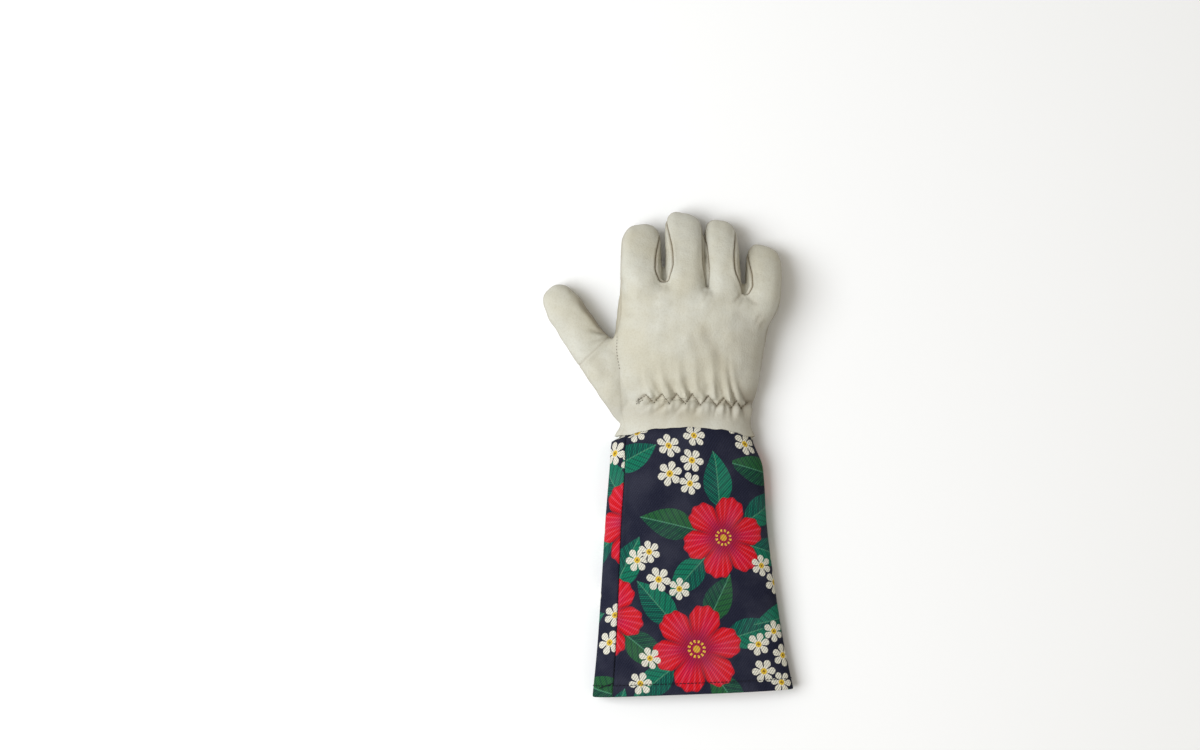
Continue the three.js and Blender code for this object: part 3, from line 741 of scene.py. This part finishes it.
# White blossoms: across, along, radius
DAISIES = [
    (86, 20, 10), (104, 32, 9.5), (84, 42, 9.5), (100, 10, 9), (98, 52, 9), (176, 14, 9.5), (186, 34, 9),
    (104, 92, 10), (112, 112, 9.5), (92, 106, 9), (120, 94, 9), (8, 96, 10), (24, 88, 9), (182, 112, 9.5),
    (2, 118, 9), (20, 178, 10), (38, 188, 9.5), (22, 200, 9.5), (44, 208, 9), (36, 170, 9),
    (86, 206, 10), (100, 220, 9.5), (74, 222, 9), (188, 214, 9),
]


def leaf_spots(rows):
    spots = []
    for blossom, angle, out, size, tint in rows:
        x, y = BLOSSOMS[blossom][:2]
        turn = math.radians(angle)
        spots.append((x + out * math.cos(turn), y + out * math.sin(turn), size, angle, tint))
    return spots


PRINT_LAYERS = {
    "leaf_under": leaf_spots(LEAVES[::2]),
    "leaf_over": leaf_spots(LEAVES[1::2]),
    "blossom_layer": [(*spot, 0) for spot in BLOSSOMS],
    "daisy_layer": [(x, y, size, 37 * k, 0) for k, (x, y, size) in enumerate(DAISIES)],
}


# The cuff's cloth
def cuff_section_rows():
    """Sections of the cuff from its tucked end to its mouth: y, left, right, bottom, top, arch, skew."""
    rows = []
    for y in (WRIST_Y + CUFF_TUCK, WRIST_Y):
        left, right, bottom, top = palm_sections([y])[0][:4]
        wall = LEATHER_WALL + TUCK_GAP
        rows.append((y, left + wall, right - wall, bottom + wall, top - wall, WRIST_ARCH, 0))
    for at, left, right, top, arch, skew in CUFF_ROWS:
        rows.append((-at * CUFF_LENGTH, left * MOUTH_WIDTH, right * MOUTH_WIDTH, 0, top * MOUTH_HEIGHT,
                     arch * WRIST_ARCH, skew * MOUTH_SKEW))
    return np.array(rows)


def cuff_points(y, share, side, inset):
    """Points of the cuff's surface: y along it, share across it, side 1 above and -1 below."""
    rows = cuff_section_rows()[::-1]
    left, right, bottom, top, arch, skew = read_rows(rows, y).T
    left, right, bottom, top = left + inset, right - inset, bottom + inset, top - inset
    depth = (top - bottom) / 1.75
    x = left + (right - left) / 2 * (1 + share)
    lift = np.maximum(0, 1 - np.abs(share) ** CUFF_ROUNDNESS) ** (1 / CUFF_ROUNDNESS)
    z = np.maximum(top - depth + side * depth * lift, bottom)
    wave = (0.9 * np.sin(x * 0.055 + y * 0.021 + 0.6) * np.sin(y * 0.041 + 1.1)
            + 0.5 * np.sin(x * 0.12 - y * 0.06 + 2.2) * np.sin(y * 0.09))
    wave *= smooth((-y - 15) / 40) * lift
    to_hem = y + CUFF_LENGTH - HEM_STITCH
    pucker = 0.22 * np.sin(x * 0.9 + 1.5 * np.sin(x * 0.13)) * bell(to_hem + 3, 5)
    hem = 0.35 * smooth(-to_hem / 1.5) - 0.6 * bell(to_hem, 1.1) + pucker
    to_seam = (share + SIDE_SEAM) * (right - left) / 2
    seam = 0.45 * bell(to_seam - 2, 1.3) - 0.7 * bell(to_seam, 1)
    z = z + np.where(side > 0, wave + (hem + seam) * np.minimum(1, 2 * lift), 0)
    return np.stack([x, y + arch * (1 - share**2) - skew * share, z], axis=-1)


def cuff_places(panel, count=150):
    """Shares across the cuff and sides for one panel, going round the edge that it wraps."""
    start, end = np.arccos(SIDE_SEAM) - SEAM_SLIT, np.arccos(-SIDE_SEAM) - SEAM_SLIT
    if panel == "cuff_back":
        angle = np.linspace(end, -start, count)
    else:
        start, end = start + 2 * SEAM_SLIT, end + 2 * SEAM_SLIT
        angle = np.linspace(-start, -2 * np.pi + end, count)
    return np.cos(angle), np.where(np.sin(angle) >= 0, 1.0, -1.0)


def lay_motifs(mesh, name, cut, spots):
    """Gives each face's corners their places in the frame of the nearest motif of one layer."""
    cut = cut.reshape(-1, 4, 2)
    middle = cut.mean(axis=1, keepdims=True)
    spots = np.asarray(spots, float)
    away = middle - spots[None, :, :2]
    away = (away + np.array(REPEAT) / 2) % REPEAT - np.array(REPEAT) / 2
    nearest = np.argmin(np.linalg.norm(away, axis=2) / spots[:, 2], axis=1)
    local = cut - middle + away[np.arange(len(cut)), nearest][:, None]
    turn = np.radians(spots[nearest, 3])[:, None]
    size = spots[nearest, 2][:, None]
    x = (local[..., 0] * np.cos(turn) + local[..., 1] * np.sin(turn)) / size
    y = (local[..., 1] * np.cos(turn) - local[..., 0] * np.sin(turn)) / size
    tint = spots[nearest, 4][:, None] + 0 * x
    places = mesh.attributes.new(name, "FLOAT_VECTOR", "CORNER")
    places.data.foreach_set("vector", np.stack([x, y, tint], axis=-1).astype(np.float32).ravel())


# The hem's turn at the mouth: height above the mouth's edge and how far in from the outside
HEM_TURN = [(0.35, 0.25), (0.02, 0.9), (0, 1.45), (0.02, 2.0), (0.35, 2.6)]
HEM_INSET = 2.9


def make_cuff(panel, finish, reverse):
    share, side = cuff_places(panel)
    mouth = -CUFF_LENGTH
    rows = [(y, 0.0) for y in np.linspace(WRIST_Y + CUFF_TUCK, mouth + 15, 128)]
    rows += [(y, 0.0) for y in np.linspace(mouth + 14.5, mouth + 1.2, 28)]
    rows += [(mouth + height, inset) for height, inset in HEM_TURN]
    rows += [(y, HEM_INSET) for y in np.linspace(mouth + 1.4, mouth + HEM_DEPTH, 10)]
    grid = np.array([cuff_points(np.full(len(share), y), share, side, inset) for y, inset in rows])
    count, around = grid.shape[:2]
    faces = [(a, a + around, a + around + 1, a + 1)
             for r in range(count - 1) for a in range(r * around, (r + 1) * around - 1)]
    made = mesh_object(panel + "_cloth", in_place(grid.reshape(-1, 3)), faces)
    steps = np.linalg.norm(np.diff(grid, axis=1), axis=2)
    across = np.concatenate([np.zeros((count, 1)), np.cumsum(steps, axis=1)], axis=1)
    widths = across[:, -1].copy()
    across -= across.mean(axis=1, keepdims=True)
    strides = np.linalg.norm(np.diff(grid, axis=0), axis=2).mean(1)
    along = np.concatenate([[0], np.cumsum(strides)])[:, None] + 0 * across
    order = np.empty(len(made.data.loops), int)
    made.data.loops.foreach_get("vertex_index", order)
    flat = np.stack([across.ravel(), along.ravel()], axis=1)[order]
    made.data.uv_layers.new(name="cut").data.foreach_set("uv", (flat * 0.001).ravel())
    for name, spots in PRINT_LAYERS.items():
        lay_motifs(made.data, name, flat * (1, -1) + PRINT_SHIFT[panel], spots)
    dress(made, panel, finish, reverse, CLOTH_WALL - 0.1)


# Materials, built from plain arithmetic on their nodes
class Wire:
    """A value in a node tree that arithmetic and further nodes build on."""

    def __init__(self, socket):
        self.socket, self.tree = socket, socket.id_data

    def math(self, operation, *others):
        node = added(self.tree, "ShaderNodeMath", dict(enumerate((self,) + others)), operation=operation)
        return Wire(node.outputs[0])

    def __add__(self, other):
        return self.math("ADD", other)

    def __sub__(self, other):
        return self.math("SUBTRACT", other)

    def __mul__(self, other):
        return self.math("MULTIPLY", other)

    def __truediv__(self, other):
        return self.math("DIVIDE", other)

    def __abs__(self):
        return self.math("ABSOLUTE")

    def wave(self):
        return self.math("COSINE")

    def stripe(self):
        """Distance from the middle of each unit stripe, from 0 to 0.5."""
        return abs(self.math("FRACT") - 0.5)

    def rise(self, low, high):
        """0 below low, 1 above high and a smooth rise between."""
        inputs = {"Value": self, "From Min": low, "From Max": high}
        node = added(self.tree, "ShaderNodeMapRange", inputs, interpolation_type="SMOOTHSTEP")
        return Wire(node.outputs["Result"])

    def fall(self, low, high):
        return self.rise(low, high).math("MULTIPLY_ADD", -1, 1)

    def mix(self, low, high):
        """A colour between two, with this value as the second one's share."""
        node = added(self.tree, "ShaderNodeMix", {"Factor": self, 6: low, 7: high}, data_type="RGBA")
        return Wire(node.outputs[2])


def plug(socket, value):
    if isinstance(value, Wire):
        socket.id_data.links.new(value.socket, socket)
    else:
        socket.default_value = value


def added(tree, kind, inputs=None, **settings):
    """A new node with its settings, and with numbers, colours or wires in its inputs."""
    node = tree.nodes.new(kind)
    for name, value in settings.items():
        setattr(node, name, value)
    for name, value in (inputs or {}).items():
        plug(node.inputs[name], value)
    return node


def node_group(name, kind, inputs, output):
    """An empty node group with named inputs and one output, each with its kind of socket."""
    tree = bpy.data.node_groups.new(name, kind)
    for label, socket in inputs.items():
        tree.interface.new_socket(label, in_out="INPUT", socket_type="NodeSocket" + socket)
    tree.interface.new_socket(output[0], in_out="OUTPUT", socket_type="NodeSocket" + output[1])
    given = added(tree, "NodeGroupInput").outputs
    return tree, {label: Wire(given[label]) for label in inputs}


def noise(place, scale, detail=2.0, roughness=0.5):
    inputs = {"Vector": place, "Scale": scale, "Detail": detail, "Roughness": roughness}
    return Wire(added(place.tree, "ShaderNodeTexNoise", inputs).outputs["Fac"])


def cells(place, scale):
    node = added(place.tree, "ShaderNodeTexVoronoi", {"Vector": place, "Scale": scale})
    return Wire(node.outputs["Distance"])


def parts_of(vector):
    return [Wire(out) for out in added(vector.tree, "ShaderNodeSeparateXYZ", {0: vector}).outputs]


def object_place(tree):
    return Wire(added(tree, "ShaderNodeTexCoord").outputs["Object"])


def mesh_value(tree, name, output):
    """What the mesh holds under a name, at the shaded place."""
    return Wire(added(tree, "ShaderNodeAttribute", attribute_name=name).outputs[output])


def new_material(name):
    material = bpy.data.materials.new(name)
    material.use_nodes = True
    return material, material.node_tree, material.node_tree.nodes["Principled BSDF"].inputs


def finish_shader(shader, paint, roughness, height, relief, shine):
    bump = added(height.tree, "ShaderNodeBump", {"Distance": relief, "Height": height})
    plug(shader["Base Color"], paint)
    plug(shader["Roughness"], roughness)
    plug(shader["Normal"], Wire(bump.outputs[0]))
    plug(shader["Specular IOR Level"], shine)


def colour(red, green, blue):
    """A screen colour from 0 to 255, as a linear one."""
    linear = [c / 12.92 if c <= 0.04045 else ((c + 0.055) / 1.055) ** 2.4
              for c in (red / 255, green / 255, blue / 255)]
    return (*linear, 1)


def thread_material(name, paint, worn):
    """Twisted sewing thread: fine slanting plies, a little fuzz and uneven dye."""
    material, tree, shader = new_material(name)
    place = object_place(tree)
    x, y, z = parts_of(place)
    plies = ((x + y * 0.7 + z) * 2400).stripe() * 2
    fuzz = noise(place, 1800, 3)
    dye = (fuzz.rise(0.35, 0.7) * 0.6 + plies * 0.2).mix(paint, worn)
    finish_shader(shader, dye, fuzz * 0.25 + 0.6, plies + fuzz, 0.00008, 0.2)
    return material


def leather_material(name, pale, warm, grain, roughness):
    """Grain leather: fine pebbled cells and pores, soft tone changes, and painted shade in a warm brown
    where the mesh gives it.
    """
    material, tree, shader = new_material(name)
    place = object_place(tree)
    paint = noise(place, 22, 3).rise(0.35, 0.68).mix(pale, warm)
    clouds = noise(place, 75, 4, 0.6).rise(0.3, 0.75)
    paint = (clouds * 0.16).mix(paint, colour(188, 178, 150))
    # Painted shade: warm brown, as strong as the mesh's painted shade value at each point
    paint = (mesh_value(tree, "painted_shade", "Fac") * 0.62).mix(paint, colour(112, 92, 62))
    pebble = cells(place, 850)
    paint = (pebble.rise(0.45, 0.8) * 0.12).mix(paint, colour(150, 138, 108))
    pores = noise(place, 2600, 2)
    stretch = noise(place, 130, 4, 0.6)
    height = pebble * -0.6 + pores * 0.35 + stretch * 3
    finish_shader(shader, paint, clouds * 0.12 + roughness, height, grain, 0.32)
    return material


class Motif:
    """A node group that draws one layer of motifs over the ground colour it is given."""

    def __init__(self, name):
        inputs = {"Place": "Vector", "Ground": "Color"}
        self.tree, given = node_group(name, "ShaderNodeTree", inputs, ("Colour", "Color"))
        self.ground = given["Ground"]
        self.x, self.y, self.tint = parts_of(given["Place"])
        self.away = (self.x * self.x + self.y * self.y).math("SQRT")

    def petals(self, count):
        """Place across a petal, from -0.5 to 0.5."""
        angle = self.y.math("ARCTAN2", self.x)
        return (angle * (count / FULL_TURN) + 0.5).math("FRACT") - 0.5

    def petal_edge(self, across, notch, ruffle, waves):
        """How far a petal reaches, round at its end and notched between its neighbours."""
        arch = (across * across * -4 + 1).math("MAXIMUM", 0).math("SQRT")
        return arch * (1 - notch) + (across * (FULL_TURN * waves)).wave() * ruffle + notch

    def finish(self, result):
        plug(added(self.tree, "NodeGroupOutput").inputs["Colour"], result)
        return self.tree


def blossom_motif():
    """A full red blossom: a ring of round rayed petals, a deep middle and a ring of yellow dots."""
    m = Motif("red_blossom")
    across = m.petals(6)
    inside = m.petal_edge(across, 0.6, 0.02, 4) - m.away
    rays = (across * (FULL_TURN * 6)).wave().rise(0.2, 1)
    broad = (across * FULL_TURN + 0.8).wave().rise(-0.2, 0.9)
    red = (broad * m.away.fall(0.5, 1) * 0.35).mix(colour(214, 16, 28), colour(198, 34, 96))
    red = (rays * m.away.rise(0.2, 0.5) * 0.4).mix(red, colour(232, 84, 108))
    red = (m.away.fall(0.2, 0.62) * 0.75).mix(red, colour(138, 20, 66))
    red = (abs(across).rise(0.4, 0.5) * m.away.rise(0.25, 0.6) * 0.7).mix(red, colour(112, 6, 26))
    red = (inside.fall(0.02, 0.07) * 0.45).mix(red, colour(132, 8, 28))
    dots = abs(m.away - 0.17).fall(0.025, 0.035) * abs(m.petals(12)).fall(0.2, 0.3)
    red = dots.mix(red, colour(232, 190, 66))
    red = m.away.fall(0.07, 0.09).mix(red, colour(214, 166, 52))
    return m.finish(inside.rise(0, 0.02).mix(m.ground, red))


def leaf_motif():
    """A pointed leaf with a pale midrib, slanting veins and one half darker."""
    m = Motif("pointed_leaf")
    aside = abs(m.y)
    width = (m.x * m.x * -1 + 1) * (m.x * -0.16 + 0.5)
    slant = m.x - aside * 0.9
    half = m.y.rise(-0.015, 0.015)
    green = m.tint.mix(colour(16, 122, 92), colour(38, 98, 52))
    green = (half * 0.3).mix(green, colour(12, 76, 76))
    green = ((slant * 12).stripe().rise(0.2, 0.4) * (half * 0.5 + 0.3)).mix(green, colour(10, 30, 48))
    green = ((slant * 4).stripe().fall(0.03, 0.08) * 0.8).mix(green, colour(14, 36, 48))
    green = (aside.fall(0.012, 0.03) * 0.6).mix(green, colour(84, 150, 116))
    return m.finish((width - aside).rise(0, 0.02).mix(m.ground, green))


def daisy_motif():
    """A small white blossom of six separate petals with a yellow middle."""
    m = Motif("white_blossom")
    across = abs(m.petals(6))
    petal = (m.petal_edge(across, 0.35, 0, 1) - m.away).rise(0, 0.05)
    gap = across.rise(0.36, 0.44) * m.away.rise(0.25, 0.4)
    lines = abs(across - 0.14).fall(0.015, 0.04) * m.away.rise(0.35, 0.45)
    white = (lines * 0.5).mix(colour(232, 228, 212), colour(140, 142, 128))
    result = (petal * gap.math("MULTIPLY_ADD", -1, 1)).mix(m.ground, white)
    result = m.away.fall(0.22, 0.3).mix(result, colour(228, 190, 54))
    return m.finish(m.away.fall(0.08, 0.12).mix(result, colour(150, 112, 30)))


def cloth_material(name, motifs, faded):
    """Printed cotton twill: slanting ribs of yarn, slightly uneven dye and a dull finish."""
    material, tree, shader = new_material(name)
    lay = Wire(added(tree, "ShaderNodeUVMap", uv_map="cut").outputs[0])
    place = Wire(added(tree, "ShaderNodeVectorMath", {0: lay, "Scale": 1000}, operation="SCALE").outputs[0])
    paint = colour(30, 32, 50)
    for layer in PRINT_LAYERS:
        inputs = {"Place": mesh_value(tree, layer, "Vector"), "Ground": paint}
        drawn = added(tree, "ShaderNodeGroup", inputs, node_tree=motifs[layer.split("_")[0]])
        paint = Wire(drawn.outputs["Colour"])
    u, v, _ = parts_of(place)
    ribs = ((u + v * 0.8) / 2.2).stripe() * 2
    yarn = (v / 0.6).stripe() * 2
    fleck = noise(place, 2.2, 2)
    wash = noise(place, 0.035, 3)
    paint = (ribs.rise(0.4, 1) * 0.55).mix(paint, colour(12, 12, 20))
    paint = (fleck.rise(0.5, 0.75) * 0.16).mix(paint, colour(120, 124, 140))
    paint = (wash.rise(0.4, 0.7) * 0.05).mix(paint, colour(150, 150, 165))
    if faded:
        paint = (fleck * 0.25 + 0.45).mix(paint, colour(120, 122, 138))
    height = ribs * -0.6 + yarn * 0.2 + fleck * 0.4
    finish_shader(shader, paint, fleck * 0.15 + 0.75, height, 0.0003, 0.08)
    return material


# Lights: name, place, width, power, tint
LIGHTS = [
    ("key", (-1.45, -0.05, 1.95), 1.7, 54, (0.97, 1, 1.04)),
    ("fill", (1.6, -0.8, 1.8), 2.0, 3, (1, 0.86, 0.64)),
    ("overhead", (-0.8, 0.1, 2.8), 1.8, 13, (0.98, 1, 1.02)),
]
WORLD_TINT = (1, 0.95, 0.84, 1)
WORLD_STRENGTH = 0.32
FLOOR_HALF = 6
CAMERA_PLACE = (-0.0547, 0.0638, 2.42)
CAMERA_LENS = 90


def make_stage():
    corners = [(x * FLOOR_HALF, y * FLOOR_HALF, 0) for x, y in ((-1, -1), (1, -1), (1, 1), (-1, 1))]
    floor = mesh_object("floor", corners, [(0, 1, 2, 3)])
    material, _, shader = new_material("pale_floor")
    shader["Base Color"].default_value = (0.94, 0.94, 0.94, 1)
    shader["Roughness"].default_value = 0.9
    floor.data.materials.append(material)
    for name, place, wide, power, tint in LIGHTS:
        light = bpy.data.lights.new(name, "AREA")
        light.size = wide
        light.energy = power
        light.color = tint
        lamp = link(bpy.data.objects.new(name, light))
        lamp.location = place
        lamp.rotation_euler = (-Vector(place)).to_track_quat("-Z", "Y").to_euler()
    world = bpy.data.worlds.new("studio")
    world.use_nodes = True
    glow = world.node_tree.nodes["Background"].inputs
    glow["Color"].default_value = WORLD_TINT
    glow["Strength"].default_value = WORLD_STRENGTH
    scene.world = world
    scene.view_settings.view_transform = "Standard"


def make_camera():
    lens = bpy.data.cameras.new("view")
    lens.lens = CAMERA_LENS
    lens.sensor_width = 36
    camera = link(bpy.data.objects.new("view", lens))
    camera.location = CAMERA_PLACE
    scene.camera = camera


# Stitches, laid along rows by one node tree
def stitch_tree():
    inputs = {"Geometry": "Geometry", "Pitch": "Float", "Stitch length": "Float", "Thread radius": "Float",
              "Thread": "Material"}
    tree, given = node_group("stitch_row", "GeometryNodeTree", inputs, ("Geometry", "Geometry"))

    def node(kind, inputs=None, **settings):
        return Wire(added(tree, kind, inputs, **settings).outputs[0])

    row = node("GeometryNodeMeshToCurve", {"Mesh": given["Geometry"]})
    spaced = node("GeometryNodeResampleCurve", {"Curve": row, "Length": given["Pitch"]}, mode="LENGTH")
    bead = node("GeometryNodeMeshUVSphere", {"Segments": 6, "Rings": 4, "Radius": 1.0})
    half = given["Stitch length"] * 0.5
    radius = given["Thread radius"]
    size = node("ShaderNodeCombineXYZ", {"X": radius, "Y": radius, "Z": half})
    stitch = node("GeometryNodeTransform", {"Geometry": bead, "Scale": size})
    tangent = node("GeometryNodeInputTangent")
    along = node("FunctionNodeAlignRotationToVector", {"Vector": tangent}, axis="Z")
    laid = node("GeometryNodeInstanceOnPoints", {"Points": spaced, "Instance": stitch, "Rotation": along})
    solid = node("GeometryNodeRealizeInstances", {"Geometry": laid})
    dressed = node("GeometryNodeSetMaterial", {"Geometry": solid, "Material": given["Thread"]})
    plug(added(tree, "NodeGroupOutput").inputs[0], dressed)
    return tree


def joined_rows(rows):
    """Rows of points as one list of points and the edges between them."""
    points, edges = [], []
    for row in rows:
        edges += [(len(points) + k, len(points) + k + 1) for k in range(len(row) - 1)]
        points += list(row)
    return np.array(points), edges


def seam_lines(points, faces, labels, chosen):
    """The edges of the skin where the chosen pairs of panels meet, just clear of the leather."""
    sides = np.sort(sides_of(faces), axis=1)
    owner = np.tile(labels, 3)
    order = np.lexsort((sides[:, 1], sides[:, 0]))
    sides, owner = sides[order], owner[order]
    same = (sides[1:] == sides[:-1]).all(axis=1)
    pairs = np.sort(np.stack([owner[:-1][same], owner[1:][same]], axis=1), axis=1)
    edges = sides[:-1][same]
    edges = edges[[tuple(pair) in chosen for pair in pairs.tolist()]]
    used, inverse = np.unique(edges.ravel(), return_inverse=True)
    return points[used] + 0.2 * normals_of(points, faces)[used], inverse.reshape(-1, 2).tolist()


# Sizes of the stitches in millimetres: pitch, length, thread radius
STITCHES = {
    "elastic_thread": (2.0, 1.6, 0.3),
    "back_seam_thread": (2.3, 1.1, 0.3),
    "finger_seam_thread": (1.5, 1.5, 0.24),
    "root_seam_thread": (2.2, 1.5, 0.24),
    "hem_thread": (3.0, 2.5, 0.42),
    "hem_tack_thread": (2.2, 2.0, 0.4),
}


def sew(name, lines, tree, thread):
    """One piece of thread: stitches along lines given by drawing points and the edges between them."""
    points, edges = lines
    made = mesh_object(name, in_place(points), [], edges)
    sewing = made.modifiers.new("stitches", "NODES")
    sewing.node_group = tree
    pitch, length, radius = (size * 0.001 for size in STITCHES[name])
    values = {"Pitch": pitch, "Stitch length": length, "Thread radius": radius, "Thread": thread}
    for socket in tree.interface.items_tree:
        if socket.in_out == "INPUT" and socket.name in values:
            sewing[socket.identifier] = values[socket.name]
    finished_mesh(made).shade_smooth()
    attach(made, "root")


def dropped(path, surface, lift, step=0.6):
    """A path in plan, laid on the top of a surface with points every step."""
    path = np.asarray(path, float)
    gaps = np.concatenate([[0], np.cumsum(np.hypot(*np.diff(path, axis=0).T))])
    at = np.linspace(0, gaps[-1], max(2, int(gaps[-1] / step)))
    row = []
    for x, y in zip(np.interp(at, gaps, path[:, 0]), np.interp(at, gaps, path[:, 1])):
        hit = surface.ray_cast(Vector((x, y, 200)), Vector((0, 0, -1)))[0]
        if hit is not None:
            row.append((x, y, hit.z + lift))
    return np.array(row)


# Rows of thread on the leather, in plan: the dotted line beside the thumb and the start of the zigzag
BACK_ROW = [(-53.5, 75.8), (-54, 65), (-52.9, 57.4), (-51.6, 51)]
ZIGZAG_START = [(-37.6, 24.8), (-33.5, 27.6), (-37.2, 26.2), (-35.6, 23.2), (-38.4, 22.6), (-33.6, 25.4)]

# Back-tack of the hem by its seam, as three short rows: share across the cuff where each begins and ends
HEM_TACKS = [(-0.93, -0.8), (-0.8, -0.92), (-0.92, -0.82)]


def make_stitches(skin, tree, thread, seam_thread, cloth_thread):
    surface = BVHTree.FromPolygons([Vector(p) for p in skin[0]], skin[1].tolist())
    zigzag = [dropped([a, b], surface, 0.28) for a, b in zip(ZIGZAG[:-1], ZIGZAG[1:])]
    zigzag.append(dropped(ZIGZAG_START, surface, 0.3))
    sew("elastic_thread", joined_rows(zigzag), tree, thread)
    beside_thumb = joined_rows([dropped(BACK_ROW, surface, 0.12)])
    sew("back_seam_thread", beside_thumb, tree, thread)
    pairs = {(BACK, FORK), (BACK, FORK + 1), (BACK, FORK + 2), (PALM, FORK), (PALM, FORK + 2),
             (MIDDLE_FRONT, FORK), (MIDDLE_FRONT, FORK + 1), (RING_FRONT, FORK + 1), (RING_FRONT, FORK + 2)}
    sew("finger_seam_thread", seam_lines(*skin, pairs), tree, seam_thread)
    pairs = {(PALM, MIDDLE_FRONT), (PALM, RING_FRONT)}
    sew("root_seam_thread", seam_lines(*skin, pairs), tree, seam_thread)
    rows = []
    for panel in ("cuff_back", "cuff_palm"):
        share, side = cuff_places(panel, 400)
        row = cuff_points(np.full(len(share), -CUFF_LENGTH + HEM_STITCH), share, side, -0.25)
        row[:, 2] = np.maximum(row[:, 2], 0.45)
        rows.append(row)
    sew("hem_thread", joined_rows(rows), tree, cloth_thread)
    rows = []
    for k, (begin, end) in enumerate(HEM_TACKS):
        y = -CUFF_LENGTH + HEM_STITCH + np.linspace(-1.6, 1.6, 24) * (1, -1, 1)[k]
        rows.append(cuff_points(y, np.linspace(begin, end, 24), np.ones(24), -0.45))
    sew("hem_tack_thread", joined_rows(rows), tree, cloth_thread)


make_camera()
make_stage()
leather = leather_material("cream_leather", colour(200, 199, 188), colour(194, 190, 173), 0.00017, 0.5)
suede = leather_material("leather_inside", colour(206, 194, 168), colour(196, 180, 150), 0.0003, 0.85)
motifs = {"leaf": leaf_motif(), "blossom": blossom_motif(), "daisy": daisy_motif()}
cloth = cloth_material("printed_twill", motifs, False)
cloth_inside = cloth_material("twill_inside", motifs, True)
thread = thread_material("grey_thread", colour(84, 77, 65), colour(126, 118, 100))
seam_thread = thread_material("brown_thread", colour(100, 86, 64), colour(132, 118, 92))
cloth_thread = thread_material("navy_thread", colour(14, 14, 24), colour(40, 40, 54))
skin = make_leather(leather, suede)
make_cuff("cuff_back", cloth, cloth_inside)
make_cuff("cuff_palm", cloth, cloth_inside)
make_stitches(skin, stitch_tree(), thread, seam_thread, cloth_thread)
